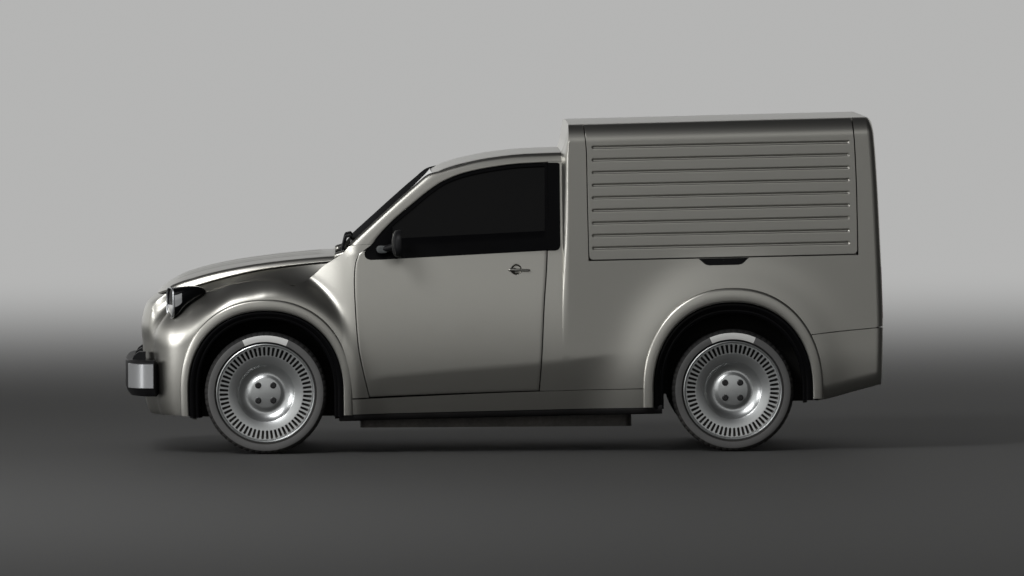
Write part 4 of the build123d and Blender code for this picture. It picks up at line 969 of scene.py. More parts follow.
x, t = sheetBetween(lambda x, t: sideX + 0 * t, lambda x, t: hatchLine("hatchFront", x, t, -gap), 8,
                    stripFoot)
boxParts = [grid(boxPoint(x, t))]
x, t = sheetBetween(lambda x, t: hatchLine("hatchRear", x, t, gap), rearEdge, 10, stripFoot)
boxParts.append(grid(boxPoint(x, t)))
x = straight([[sideX], [0.80], [1.62], [2.02]], [33, 83, 33])
bottomLine = [(0.30, 0.338), (0.814, 0.350), (0.90, 0.352), (1.60, 0.629), (1.617, 0.631), (1.831, 0.655),
              (2.06, 0.676)]
shareUp = spread((0.3, 20), (1.0, 46))[None, :]
z = lineThrough(bottomLine, x) + shareUp * (lowAt(x) - gap - lineThrough(bottomLine, x))
endShift = lineThrough(box["rear"], z) - box["rearRound"] - x[-1]
x = x + endShift * ease(1.85, 2.02, x)
mid = (x[:-1, :-1] + x[1:, 1:]) / 2
midZ = (z[:-1, :-1] + z[1:, 1:]) / 2
keep = archSize(mid, midZ, "rear") > archSets["rear"]["half"] + 0.025
boxParts.append(grid(boxPoint(x, z), keep))
# the rear corner, and the face as far as the door opening
r = box["rearRound"]
turn = np.linspace(0, math.pi / 2, 9)[:, None]
tail = np.concatenate([np.linspace(0.676, 1.066, 20),
                       sectionRows(np.array([[1.99]]), np.array([[1.070]]))[0]])
full = np.concatenate([tail, tail[-1] + (sectionEnd(1.99, 0.0) - tail[-1]) * np.linspace(0, 1, 14)[1:]])
base = boxPoint(2.0, full)
away = boxPoint(2.0, full, out=1.0) - base
rearX = lineThrough(box["rear"], base[:, 2])
cornerRear = base[None] - away[None] * (r * (1 - np.cos(turn)))[..., None]
cornerRear[..., 0] = rearX - r + r * np.sin(turn)
boxParts.append(grid(cornerRear))
loop = cornerRear[-1]
opening = loop.copy()
inside = np.minimum(np.abs(loop[:, 1]), box["doorHalf"])
opening[:, 1] = -inside
opening[:, 2] = np.minimum(loop[:, 2], box["doorTop"])
w = np.linspace(0, 1, 5)[:, None, None]
face = loop[None] * (1 - w) + opening[None] * w
boxParts.append(grid(face))
jamb = opening[None] - np.array([1.0, 0, 0]) * np.array([0, 0.012, 0.040])[:, None, None]
boxParts.append(grid(jamb))
bothSides("cargo_side_skin", boxParts + frontParts, bodyPaint, stands=["cargo_side_SIDE"],
          slot="body_paint", crisp=40)
print("cargo sides made")

# side hatches with nine pressed ribs, wrapped over the roof edge to the seam
hatch = {"ribs": 9, "first": 1.110, "pitch": 0.0685, "slope": 0.0158, "from": 0.4935, "to": 1.875,
         "half": 0.0082, "depth": 0.0080, "wall": 0.026, "corner": 0.022}
ribRows = hatch["first"] + hatch["pitch"] * np.arange(hatch["ribs"])
near = np.array([-1.7, -1.0, -0.8, -0.55, -0.25, 0.25, 0.55, 0.8, 1.0, 1.7]) * hatch["half"]
levels = np.sort(np.concatenate([[1.0476, 1.051, 1.056, 1.063, 1.070, 1.085],
                                 (ribRows[:, None] + near).ravel(),
                                 (ribRows[:-1, None] + hatch["pitch"]
                                  * np.array([0.35, 0.5, 0.65])).ravel(), [1.6755, 1.683, 1.6895]]))
levelSlope = lineThrough([(1.0476, 0.0174), (1.10, 0.0158), (1.668, 0.0158), (1.6895, 0.0208)], levels)
share = spread((0.004, 2), (0.010, 3), (0.032, 10), (0.955, 56), (0.985, 12), (0.997, 3), (1.0, 2))[:, None]
over = spread((1.0, 18))[1:]


# section lengths of the hatch rows at x: even up the side, then over the edge to the seam
def hatchHeights(x):
    side, edge = x[:, :len(levels)], x[:, len(levels):]
    high = lineThrough(box["height"], edge) - box["edge"]
    overEdge = high + over * (seamAt(edge) - gap - high)
    return np.concatenate([levels + (side - 0.487) * levelSlope, overEdge], 1)


# how far the hatch's upright edge stands back at height t, to round its low corner
def roundedCorner(t, low):
    r = hatch["corner"]
    left = np.clip(r - (t - low), 0, r)
    return r - np.sqrt(r**2 - left**2)


x = 0.47 + share * 1.45 + np.zeros(len(levels) + len(over))
for _ in range(3):
    t = hatchHeights(x)
    back = roundedCorner(t, lowAt(x) + gap)
    front = hatchLine("hatchFront", x, t, gap) + back
    rear = hatchLine("hatchRear", x, t, -gap) - back
    x = front + share * (rear - front)
groove = 0 * x
for rib in ribRows:
    beyond = np.clip(np.maximum(hatch["from"] - x, x - hatch["to"]), 0, None)
    away = np.hypot(t - rib - hatch["slope"] * (x - 0.487), beyond)
    groove = np.maximum(groove, 1 - ease(0.45, 1.0, away / hatch["half"]))
bothSides("side_hatch_skin", [grid(boxPoint(x, t, out=-hatch["depth"] * groove))], bodyPaint,
          "side_hatch_SIDE", ["hatch_SIDE"], slot="body_paint", wall=hatch["wall"], rounding=0.0012,
          crisp=50)

# grip recess below each hatch
lip = np.array([(1.061, 0.0), (1.075, -0.012), (1.090, -0.026), (1.102, -0.034), (1.120, -0.038),
                (1.280, -0.038), (1.298, -0.034), (1.310, -0.026), (1.324, -0.012), (1.338, 0.0)])
gripLoop = np.vstack([straight(lip, [2, 2, 2, 2, 12, 2, 2, 2, 2]),
                      straight([(1.330, 0.0), (1.069, 0.0)], [14])])
gripLoop[:, 1] += lowAt(gripLoop[:, 0]) - gap - 0.0005
centre = np.array([1.1995, 1.040])
w = np.array([0, 0.02, 0.5, 0.985])[None, :, None]
out = np.array([-0.001, 0.0012, 0.0014, 0.0014])[None, :]
sheet = gripLoop[:, None] * (1 - w) + centre * w
bothSides("hatch_grip", [grid(boxPoint(sheet[..., 0], sheet[..., 1], out=out), closed=True)], blackGloss,
          slot="black_plastic", crisp=30)

# the ledges that the closed lids rest on, in a darker copy of the body paint: painted shade in the shut
# gaps

# a closed anticlockwise outline moved inwards, square to the line between each point's neighbours
def insetLoop(points, distance):
    run = np.roll(points, -1, 0) - np.roll(points, 1, 0)
    run = run / np.linalg.norm(run, axis=1)[:, None]
    return points + distance * np.stack([-run[:, 1], run[:, 0]], 1)


# ring behind a shut gap: in from the panel's edge, then a ledge
# towards the opening; place maps outline to skin
def ledge(points, place, depth, width):
    inset = insetLoop(points, width)
    rows = [(points, 0.0), (points, -depth * 0.5), (points, -depth), (inset, -depth),
            (inset, -depth - 0.012)]
    return grid(np.stack([place(p[:, 0], p[:, 1], k) for p, k in rows], 1), closed=True)


# outline points with even x on a line given as heights over x
def alongLine(line, start, end, count):
    x = np.linspace(start, end, count)
    return np.stack([x, lineThrough(line, x)], 1)


# outline points with even heights on a line given as x over height
def upLine(line, start, end, count):
    return alongLine(line, start, end, count)[:, ::-1]


doorLoop = np.vstack([
    alongLine(doorLines["low"], -0.722, 0.190, 60),
    upLine(doorLines["rear"], 0.345, 1.55, 70),
    [(0.2475, 1.568)],
    pathThrough([(0.20, 1.567), (0.100, 1.562), (-0.073, 1.542), (-0.203, 1.516), (-0.317, 1.478),
                 (-0.387, 1.435), (-0.508, 1.340), (-0.595, 1.267), (-0.683, 1.176), (-0.757, 1.106)],
                np.linspace(0, 1, 80)),
    upLine(doorLines["front"], 1.08, 0.32, 50),
])
bothSides("door_shut", [ledge(doorLoop, lambda a, b, k: skin(a, b, out=k - 0.001), 0.052, 0.024)],
          shutPaintWithPaintedShade, stands=["cab_shell"], slot="body_paint", crisp=60)
seamX = np.linspace(1.88, 0.46, 60)
hatchLoop = np.vstack([
    alongLine(box["hatchLow"], 0.470, 1.925, 60) - [0, gap],
    upLine(box["hatchRear"], 1.074, 1.787, 50) + [gap, 0],
    np.stack([seamX, seamAt(seamX) + gap], 1),
    upLine(box["hatchFront"], 1.775, 1.062, 50) - [gap, 0],
])
bothSides("hatch_shut", [ledge(hatchLoop, lambda a, b, k: boxPoint(a, b, out=k - 0.001), 0.031, 0.024)],
          shutPaintWithPaintedShade, slot="body_paint", crisp=60)

# cargo roof between the seams
x = spread((1.0, 60))[:, None] * (1.972 - sideX) + sideX
roofFrom = seamAt(x) + gap * 0.8
t = roofFrom + spread((0.02, 2), (1.0, 22))[None, :] * (sectionEnd(x, 0.0) - roofFrom)
roofHalf = [grid(boxPoint(x, t))]
edgeDown = boxPoint(x, t[:, :1]) - np.array([0, 0, 0.02]) * np.linspace(0, 1, 3)[None, :, None]
roofHalf.append(grid(edgeDown[:, ::-1]))
addPiece("cargo_roof_skin", roofHalf + mirrored(roofHalf), bodyPaint, stands=["cargo_roof"],
         slot="body_paint")

# sills, painted above and black below
sill = {"low": [(-0.88, 0.214), (0.85, 0.245)], "high": [(-0.88, 0.2935), (0.194, 0.333), (0.82, 0.3455)],
        "from": -0.866, "to": 0.808}
x = np.linspace(sill["from"], sill["to"], 90)[:, None]
low, high = lineThrough(sill["low"], x), lineThrough(sill["high"], x)
z = low + spread((1.0, 12))[None, :] * (high - low)
painted = skin(x, z)
under = painted[:, :1] + np.array([0, 0.03, 0.0]) * np.linspace(0, 1, 3)[None, :, None]
top = painted[:, -1:] + np.array([0, 0.045, 0.004]) * np.linspace(0, 1, 3)[None, :, None]
bothSides("sill_skin", [grid(painted), grid(under[:, ::-1]), grid(top)], bodyPaint, slot="body_paint",
          crisp=50)
x = np.linspace(-0.895, 0.861, 90)[:, None]
low = lineThrough(sill["low"], x)
z = low + np.array([0.012, 0.0, -0.012, -0.030, -0.036])[None, :]
black = skin(x, z, out=np.array([-0.012, -0.004, -0.004, -0.006, -0.014])[None, :])
inward = surface(black[:, :1, 0], black[:, :1, 1] + np.array([0.22, 0.10, 0.01]), low - 0.036)
bothSides("sill_trim", [grid(np.concatenate([inward, black[:, ::-1]], 1))], blackPlastic,
          stands=["lower_trim"], slot="black_plastic", crisp=50)
print("sills made")

# rear quarter below the bumper line, round the corner and across the tail
quarter = {
    "from": 1.60, "to": 2.065, "fold": 0.025,
    "low": [(1.60, 0.262), (1.66, 0.269), (1.75, 0.282), (1.90, 0.318), (2.00, 0.343), (2.05, 0.358)],
    "foot": (0.055, 0.075),  # how far the foot turns inward, and over what height
}
r = box["rearRound"]
side = np.linspace(quarter["from"], quarter["to"] - r, 44)
turn = np.linspace(0, math.pi / 2, 9)[1:]
across = np.linspace(van["halfWidth"] - r, 0, 26)[1:]
planX = np.concatenate([side, quarter["to"] - r * (1 - np.sin(turn)), 0 * across + quarter["to"]])[:, None]
inset = np.concatenate([0 * side, r * (1 - np.cos(turn)), 0 * across])[:, None]
low = lineThrough(quarter["low"], planX)
high = lineThrough(box["bumperLine"], planX) - 0.002
z = low + spread((0.08, 4), (1.0, 24))[None, :] * (high - low)
x = planX + (lineThrough(box["rear"], z) - quarter["to"]) * ease(1.75, 2.0, planX)
foldIn, foldHigh = quarter["foot"]
y = van["halfWidth"] + boxOffset(x, z) - inset
y = y - foldIn * np.clip((low + foldHigh - z) / foldHigh, 0, 1) ** 2
y[len(side) + len(turn):] = across[:, None]
tail = np.stack([x, -y, z], -1)
middle = (tail[:-1, :-1] + tail[1:, 1:]) / 2
keep = archSize(middle[..., 0], middle[..., 2], "rear") > archSets["rear"]["half"] + 0.025
under = tail[10:, :1]
inwards = surface(0.03 * np.sign(1.6 - under[..., 0]), 0.03 * np.sign(-under[..., 1]), 0.010)
fold = np.concatenate([under + inwards, under], 1)
tailParts = [grid(tail, keep), grid(fold)]
inwards = surface(-1.0 * (inset > 0) - 1.0 * (y[:, -1:] < 0.82), 1.0 * (y[:, -1:] > 0.8), 0)
topFold = tail[:, -1:] + quarter["fold"] * np.array([0, 0.5, 1])[:, None] * inwards
tailParts.append(grid(topFold))
addPiece("rear_bumper_skin", tailParts + mirrored(tailParts), bodyPaint, stands=["rear_bumper"],
         slot="body_paint", crisp=50)

# back doors and tail lamps
y = spread((0.03, 4), (0.97, 30), (1.0, 4))[:, None] * (box["doorHalf"] - 2 * gap) + gap
tall = box["doorTop"] - box["doorLow"] - 2 * gap
z = box["doorLow"] + gap + spread((0.03, 4), (0.97, 44), (1.0, 4))[None, :] * tall
r = 0.034
back = np.maximum(np.clip(box["doorLow"] + gap + r - z, 0, r), np.clip(z - box["doorTop"] + gap + r, 0, r))
limit = box["doorHalf"] - gap - (r - np.sqrt(r**2 - back**2))
y = gap + (y - gap) / (box["doorHalf"] - 2 * gap) * (limit - gap)
pressed = 0.007 * ease(0.07, 0.10, y) * (1 - ease(0.69, 0.72, y))
pressed = pressed * ease(0.80, 0.83, z) * (1 - ease(1.60, 1.63, z))
leaf = surface(lineThrough(box["rear"], z) - pressed, -y, z)
bothSides("back_door_skin", [grid(leaf[::-1])], bodyPaint, "back_door_SIDE", ["rear_door_SIDE"],
          slot="body_paint", wall=0.025, rounding=0.0015, crisp=40)
tailLamp = {"low": 0.722, "high": 1.008, "from": 1.19, "swell": 0.001}  # from: the angle round the corner
rows = np.linspace(tailLamp["from"], math.pi / 2, 6)[:, None]
z = np.linspace(tailLamp["low"], tailLamp["high"], 30)[None, :]
up = 2 * (z - tailLamp["low"]) / (tailLamp["high"] - tailLamp["low"]) - 1
swell = tailLamp["swell"] * np.sqrt(np.clip(1 - up**8, 0, 1))
r = box["rearRound"]
rearX, sideY = lineThrough(box["rear"], z), van["halfWidth"] + boxOffset(2.0, z)
corner = surface(rearX - r + (r + swell) * np.sin(rows), r - sideY - (r + swell) * np.cos(rows), z)
w = np.linspace(0, 1, 5)[:, None]
edge = surface(rearX + swell * (1 - ease(0.75, 1, w)), 0.024 * w + r - van["halfWidth"], z)
bothSides("tail_lamp", [grid(corner), grid(edge)], tailRed, stands=["tail_lamps"], slot="red_lens",
          crisp=60)
print("tail made")

# cab floor, firewall and bulkhead
cab = {"floor": 0.298, "firewall": -0.875, "bulkhead": 0.362}
x, y = np.linspace(-0.86, 0.36, 12)[:, None], np.linspace(-0.79, 0.79, 12)[None, :]
addPiece("cab_floor", [grid(surface(x, y, cab["floor"]))], cabinPlastic, slot="cabin_plastic", wall=0.02)
z = np.linspace(0.29, 1.03, 8)[:, None]
addPiece("firewall", [grid(surface(cab["firewall"], y * 0.95, z)[:, ::-1])], cabinPlastic,
         slot="cabin_plastic", wall=0.01)
z = np.linspace(0.30, 1.700, 20)[:, None]
reach = np.where(z > 1.66, 0.76, 0.80) * np.linspace(-1, 1, 12)[None, :]
addPiece("bulkhead_panel", [grid(surface(cab["bulkhead"], reach, z))], cabinPlastic,
         stands=["bulkhead"], slot="cabin_plastic", wall=0.02)

# cowl grille and wipers at the foot of the screen
cowl = {"from": (-0.912, 1.066), "run": (0.106, 0.024), "half": 0.70, "droop": 0.040}
step = np.linspace(0, 1, 9)[:, None]
x = cowl["from"][0] + cowl["run"][0] * step
y = np.linspace(-cowl["half"], cowl["half"], 40)[None, :]
z = cowl["from"][1] + cowl["run"][1] * step - cowl["droop"] * (y / cowl["half"]) ** 2 * (1 - 0.6 * step)
addPiece("cowl_grille", [grid(surface(x, y, z))], blackPlastic, slot="black_plastic", wall=0.006)
wiper = {"foot": -0.876, "blade": (-0.822, 1.122), "reach": 0.54, "arms": [(-0.46, 0.00), (0.08, 0.54)],
         "rise": [(0, 1.080), (0.15, 1.115), (0.45, 1.165), (0.8, 1.165), (1, 1.142)]}
wipers = []
step = np.linspace(0, 1, 28)
for pivot, tip in wiper["arms"]:
    path = surface(wiper["foot"] + 0.056 * step, pivot + (tip - pivot) * step,
                   lineThrough(wiper["rise"], step))
    wipers.append(rod(path, 0.0085 * pill(step, 0.08)))
    stand = surface(wiper["foot"], pivot, np.array([1.060, 1.094, 1.096]))
    wipers.append(rod(stand, np.array([0.013, 0.013, 0.0]), up=(1, 0, 0)))
    blade = surface(wiper["blade"][0], tip + wiper["reach"] * (step - 0.5), wiper["blade"][1])
    wipers.append(rod(blade, 0.007 * pill(step, 0.03), flat=1.8))
step = np.linspace(0, 1, 20)
endPath = np.stack([-0.918 + 0.074 * step, -0.654 - 0.018 * step, 1.064 + 0.022 * step], 1)
endCap = rod(endPath, 0.024 * pill(step, 0.25), flat=0.9)
bothSides("cowl_end", [endCap], bodyPaint, slot="body_paint")
addPiece("wipers", wipers, blackPlastic, slot="black_plastic")

# front bumper: a black bar with a silver cap wrapped round each corner
bumper = {"plan": [(-2.066, 0.0), (-2.065, 0.25), (-2.060, 0.45), (-2.046, 0.58), (-2.010, 0.675),
                   (-1.955, 0.728), (-1.900, 0.742)],
          "low": 0.311, "high": 0.510, "capLow": 0.356, "capHigh": 0.491}


# a closed section of (out, z) carried along a plan path and closed by flat ends
def swept(path, section):
    run = np.gradient(path, axis=0)
    run /= np.linalg.norm(run, axis=1)[:, None]
    away = np.stack([-run[:, 1], run[:, 0]], 1)
    section = np.array(section, float)
    section = np.vstack([section, section[:1]])
    plan = path[:, None] + section[None, :, :1] * away[:, None]
    rows = np.concatenate([plan, np.broadcast_to(section[None, :, 1:], plan.shape[:2] + (1,))], -1)
    middle = rows[[0, -1], :-1].mean(1)
    return grid(np.concatenate([rows[:1] * 0 + middle[0], rows, rows[:1] * 0 + middle[1]])[::-1])


plan = pathThrough(bumper["plan"], np.linspace(0, 1, 60))
both = np.vstack([plan[::-1] * [1, -1], plan[1:]])
low, high = bumper["low"], bumper["high"]
bar = [(-0.13, low + 0.03), (-0.10, low + 0.012), (-0.05, low), (-0.026, low + 0.004),
       (-0.012, low + 0.022), (-0.004, low + 0.040), (0.0, low + 0.05), (0.0, high - 0.006), (-0.006, high),
       (-0.035, high), (-0.05, high - 0.008), (-0.13, high - 0.03)]
addPiece("front_bumper_bar", [swept(both, bar)], blackPlastic, stands=["front_bumper"],
         slot="black_plastic", crisp=35)
low, high = bumper["capLow"], bumper["capHigh"]
cap = [(-0.004, low), (0.003, low), (0.006, low + 0.003), (0.006, high - 0.003), (0.003, high),
       (-0.012, high + 0.004), (-0.03, high + 0.004), (-0.03, high - 0.004), (-0.012, high - 0.004),
       (-0.004, high - 0.01)]
capPath = pathThrough(bumper["plan"], np.linspace(0.750, 0.995, 34)) * [1, -1]
bothSides("front_bumper_cap", [swept(capPath[::-1], cap)], bareSilver, slot="cast_grey", crisp=40)
foot = [(-0.05, 0.49), (0.02, 0.49), (0.03, 0.50), (0.008, 0.535), (-0.015, 0.550), (-0.05, 0.550)]
bracket = [swept(np.array([(-2.00, y0), (-2.00, y0 + 0.10)]), foot) for y0 in (-0.56, -0.05, 0.46)]
addPiece("front_bumper_bracket", bracket, blackPlastic, slot="black_plastic", crisp=35)
print("bumper made")

# headlamp pods: a black shell, a silver bezel and a projector
lamp = {"y": 0.700, "face": -1.809, "yaw": 0.257, "half": (0.073, 0.081), "middle": 0.8225,
        "x": [-1.809, -1.80, -1.79, -1.742, -1.70, -1.665, -1.64, -1.624, -1.617],
        "top": [0.903, 0.904, 0.905, 0.911, 0.914, 0.912, 0.905, 0.894, 0.886],
        "low": [0.742, 0.743, 0.748, 0.794, 0.826, 0.849, 0.862, 0.870, 0.876],
        "wide": [0.073, 0.074, 0.074, 0.070, 0.062, 0.050, 0.036, 0.018, 0.004]}


# unit rounded rectangle: the cosine and sine raised to two over the power
def oval(turn, power=3.4):
    c, s = np.cos(turn), np.sin(turn)
    return np.sign(c) * np.abs(c) ** (2 / power), np.sign(s) * np.abs(s) ** (2 / power)


# point on the lamp's face plane, which is turned outwards: depth behind it, across and up from its middle
def lampPoint(depth, across, up):
    y = lamp["half"][0] * across
    return surface(lamp["face"] + depth - lamp["yaw"] * y, y - lamp["y"],
                   lamp["middle"] + lamp["half"][1] * up)


# point on the pod at station x; its front follows the turned face and the turn fades towards the tail
def podPoint(x, turn, out=0.0):
    c, s = oval(turn)
    top, low, wide = (lineThrough(list(zip(lamp["x"], lamp[k])), x) for k in ("top", "low", "wide"))
    y = (wide + out) * c
    back = lamp["yaw"] * y * (1 - ease(-1.79, -1.70, x))
    return surface(x - back, y - lamp["y"], (top + low) / 2 + ((top - low) / 2 + out) * s)


pod = podPoint(np.linspace(lamp["x"][0], lamp["x"][-1], 44)[:, None],
               np.linspace(0, 2 * math.pi, 65)[None, :])
pod = np.concatenate([pod, pod[-1:] * 0 + pod[-1].mean(0)])
bothSides("headlamp_pod", [grid(pod)], blackGloss, stands=["headlamps"], slot="lamp_black")
loop = np.linspace(0, 2 * math.pi, 73)[:, None]
c, s = oval(loop)
tube = np.linspace(0, 2 * math.pi, 13)[None, :]
size = 1 + 0.055 * np.cos(tube)
bothSides("headlamp_bezel", [grid(lampPoint(-0.001 - 0.0055 * np.sin(tube), size * c, size * s))],
          bareSilver, slot="cast_grey")
w = np.array([0.99, 0.9, 0.6, 0.3, 0.001])[None, :]
bothSides("headlamp_face", [grid(lampPoint(0.004 + 0 * w, w * c, w * s))], blackGloss, slot="lamp_black")
low = np.linspace(math.pi + 0.10, 2 * math.pi - 0.10, 40)[:, None]
c, s = oval(low)
w = np.linspace(0, 1, 5)[None, :]
bothSides("headlamp_reflector", [grid(lampPoint(0.002 - 0.003 * np.sin(math.pi * w), c * (0.93 - 0.05 * w),
                                                s * 0.93 * (1 - w) - 0.14 * w))], lampLens,
          slot="lamp_black")
markerTurn = np.linspace(math.pi - 0.34, math.pi + 0.10, 12)[None, :]
marker = podPoint(np.linspace(-1.8050, -1.7600, 6)[:, None], markerTurn, 0.0012)
bothSides("headlamp_side_marker", [grid(marker)], lampLens, slot="lamp_black")

# mirrors
mirror = {"centre": (-0.975, 1.146), "half": (0.100, 0.076),
          "x": [-0.6045, -0.604, -0.600, -0.592, -0.583, -0.5815, -0.580, -0.570, -0.558, -0.552, -0.5515,
                -0.554],
          "size": [0.001, 0.30, 0.62, 0.84, 0.935, 0.925, 0.94, 0.985, 1.0, 0.99, 0.93, 0.90]}
turn = np.linspace(0, 2 * math.pi, 61)[None, :]
c, s = oval(turn, 2.8)
xs, size = np.array(mirror["x"])[:, None], np.array(mirror["size"])[:, None]
head = surface(xs, mirror["centre"][0] + mirror["half"][0] * size * c,
               mirror["centre"][1] + mirror["half"][1] * size * s)
step = np.linspace(0, 1, 16)
armPath = np.stack([-0.655 + 0 * step, -0.795 - 0.125 * step, 1.113 + 0 * step], 1)
arm = rod(armPath, 0.034 * np.minimum(1, pill(step, 0.08) + (step < 0.5)), flat=0.66, up=(0, 0, 1),
          count=24)
neck = rod(np.array([(-0.655, -0.900, 1.113), (-0.630, -0.915, 1.118), (-0.596, -0.925, 1.128)]), 0.019,
           up=(0, 0, 1))
bothSides("mirror_shell", [grid(head), arm, neck], blackPlastic, "cab_door_SIDE", ["mirror_SIDE"],
          slot="lamp_black", crisp=30)
w = np.array([0.001, 0.5, 0.85, 1.0, 1.0])[:, None]
capOut = np.array([0.003, 0.003, 0.0025, 0.001, -0.012])[:, None]
armCap = surface(-0.655 + 0.031 * w * c, -0.9205 - capOut, 1.113 + 0.020 * w * s)
bothSides("mirror_arm_cap", [grid(armCap)], mirrorGrey, "cab_door_SIDE", slot="cast_grey")
w = np.array([0.001, 0.4, 0.7, 0.90])[:, None]
mirrorGlass = surface(-0.5530 + 0 * w, mirror["centre"][0] + mirror["half"][0] * w * c,
                      mirror["centre"][1] + mirror["half"][1] * w * s)
silvered = finish("silvered mirror", (0.75, 0.76, 0.77), (0.80, 0.81, 0.82), 0.02, 0.01, 300, 2, 0.0,
                  Metallic=1.0)
bothSides("mirror_glass", [grid(mirrorGlass[::-1])], silvered, "cab_door_SIDE", slot="cast_grey")
print("lamps and mirrors made")

# wheels
wheel = {
    "centre": 0.742, "bolts": 4, "boltRing": 0.058,
    "slots": 60, "slotShare": 0.56, "slotRings": [0.201, 0.2035, 0.2055, 0.249, 0.2510, 0.253],
    "bolt": [(0.0005, 0.0535), (0.0085, 0.0535), (0.0095, 0.0565), (0.0150, 0.0555), (0.0172, 0.052),
             (0.0176, 0.0465)],
    "back": [(0.001, 0.020), (0.10, 0.020), (0.20, 0.030), (0.252, 0.040)],
    "band": [(0.2785, 0.0936), (0.2800, 0.0956), (0.2950, 0.0982), (0.3100, 0.0967), (0.3130, 0.0955),
             (0.3140, 0.0935)],
    "label": 23.5,  # half the angle of the white panel, in degrees
    "face": [(0.001, 0.047), (0.078, 0.047), (0.086, 0.0455), (0.094, 0.040), (0.104, 0.0375),
             (0.116, 0.039), (0.136, 0.049), (0.152, 0.0615), (0.1555, 0.0655), (0.158, 0.067),
             (0.201, 0.0745)],
    "lip": [(0.253, 0.078), (0.2540, 0.0735), (0.2568, 0.0735), (0.2575, 0.082), (0.2600, 0.0875),
            (0.2645, 0.089), (0.2685, 0.0875), (0.2695, 0.083)],
    "barrel": [(0.2530, 0.072), (0.244, 0.066), (0.243, -0.060), (0.252, -0.080), (0.262, -0.089),
               (0.2695, -0.084)],
    "tyre": [(0.2690, 0.079), (0.2705, 0.0865), (0.2760, 0.0925), (0.2950, 0.0970), (0.3100, 0.0955),
             (0.3180, 0.0915), (0.3225, 0.0885), (0.3290, 0.080), (0.3315, 0.068), (0.3320, 0.050),
             (0.3320, 0.036), (0.3255, 0.0345), (0.3255, 0.0285), (0.3320, 0.027), (0.3320, 0.004),
             (0.3255, 0.003)],
}
tyreRubber = finish("tyre rubber", (0.012, 0.012, 0.013), (0.018, 0.018, 0.018), 0.62, 0.25, 700, 9, 0.5,
                    dust=0.12, dustHeight=0.7, Specular_IOR_Level=0.3)
bandRubber = finish("knurled tyre band", (0.110, 0.110, 0.110), (0.140, 0.139, 0.137), 0.55, 0.2, 520, 14,
                    0.9, dust=0.05, dustHeight=0.7, Specular_IOR_Level=0.3)
labelWhite = finish("white tyre panel", (0.74, 0.74, 0.72), (0.80, 0.80, 0.78), 0.5, 0.15, 500, 6, 0.2)
boltBlack = finish("black bolt", (0.010, 0.010, 0.011), (0.02, 0.02, 0.02), 0.28, 0.15, 400, 8, 0.1)


# sheets of one left wheel, outer face towards -y: painted, black, dark, tyre, band and label parts
def wheelParts(axle):
    middle = (axle, -wheel["centre"], van["tyreRadius"])

    # a profile with the depth of each point turned towards -y
    def flip(profile):
        return [(r, -y) for r, y in profile]

    # sheet swept by a profile turned round the middle of the wheel, in count steps
    def spin(profile, count=144, **arc):
        return grid(turned(flip(profile), middle, count, **arc)[::-1])

    count = wheel["slots"]
    period = 2 * math.pi / count
    marks = np.array([0, 0.12, wheel["slotShare"] - 0.12, wheel["slotShare"]])
    angle = ((np.arange(count)[:, None] + marks) * period).ravel()
    radius = np.array(wheel["slotRings"])
    depth = lineThrough([wheel["face"][-1], wheel["lip"][0]], radius)
    points = surface(middle[0] + radius * np.cos(angle)[:, None], middle[1] - depth,
                     middle[2] + radius * np.sin(angle)[:, None])
    row, column = np.arange(len(angle))[:, None] % 4, np.arange(5)[None, :]
    hole = (row < 3) & (column >= 1) & (column <= 3) & ~((row != 1) & ((column == 1) | (column == 3)))
    slotBand = grid(points[::-1], ~hole[::-1][np.r_[1:len(angle), 0]], closed=True)
    painted = [spin(wheel["face"]), spin(wheel["lip"])]
    inner = [spin(wheel["barrel"]), spin(wheel["back"], 72)]
    bolts = []
    for k in range(wheel["bolts"]):
        a = 2 * math.pi * (k + 0.5) / wheel["bolts"]
        place = (middle[0] + wheel["boltRing"] * math.cos(a), middle[1],
                 middle[2] + wheel["boltRing"] * math.sin(a))
        bolts.append(grid(turned(flip(wheel["bolt"]), place, 24)[::-1]))
    section = wheel["tyre"] + [(r, -y) for r, y in wheel["tyre"][::-1]]
    body = turned(flip(section), middle, 480)
    onShoulder = [0.318 <= r <= 0.3318 and abs(y) > 0.06 for r, y in section]
    shoulder = np.array(onShoulder, float)[None, :]
    notch = (np.arange(481) % 8 < 3)[:, None] * shoulder * 0.0035
    away = body - np.array(middle)
    away[..., 1] = 0
    body = body - away / np.linalg.norm(away, axis=-1)[..., None] * notch[..., None]
    top, half = math.pi / 2, math.radians(wheel["label"])
    band = spin(wheel["band"], 150, start=top + half, end=top + 2 * math.pi - half)
    raised = [(r, y + 0.0004) for r, y in wheel["band"]]
    label = spin(raised, 40, start=top - half, end=top + half)
    return slotBand, painted, inner, bolts, grid(body[::-1]), band, label


for end, axle in (("front", van["frontAxle"]), ("rear", van["rearAxle"])):
    slotBand, painted, inner, bolts, tyreBody, band, label = wheelParts(axle)
    carrier = f"wheel_{end}_SIDE"
    bothSides(f"{end}_wheel_slots", [slotBand], wheelPaint, carrier, [f"rim_{end}_SIDE"],
              slot="wheel_paint", wall=0.007)
    bothSides(f"{end}_wheel_face", painted, wheelPaint, carrier, slot="wheel_paint", crisp=28)
    bothSides(f"{end}_wheel_barrel", inner, steelDark, carrier, slot="dark_steel")
    bothSides(f"{end}_wheel_bolts", bolts, boltBlack, carrier, slot="dark_steel")
    bothSides(f"{end}_tyre", [tyreBody], tyreRubber, carrier, [f"tyre_{end}_SIDE"], slot="tyre_rubber",
              crisp=30)
    bothSides(f"{end}_tyre_band", [band], bandRubber, carrier, slot="tyre_rubber")
    bothSides(f"{end}_tyre_label", [label], labelWhite, carrier, slot="tyre_rubber")
print("wheels made")

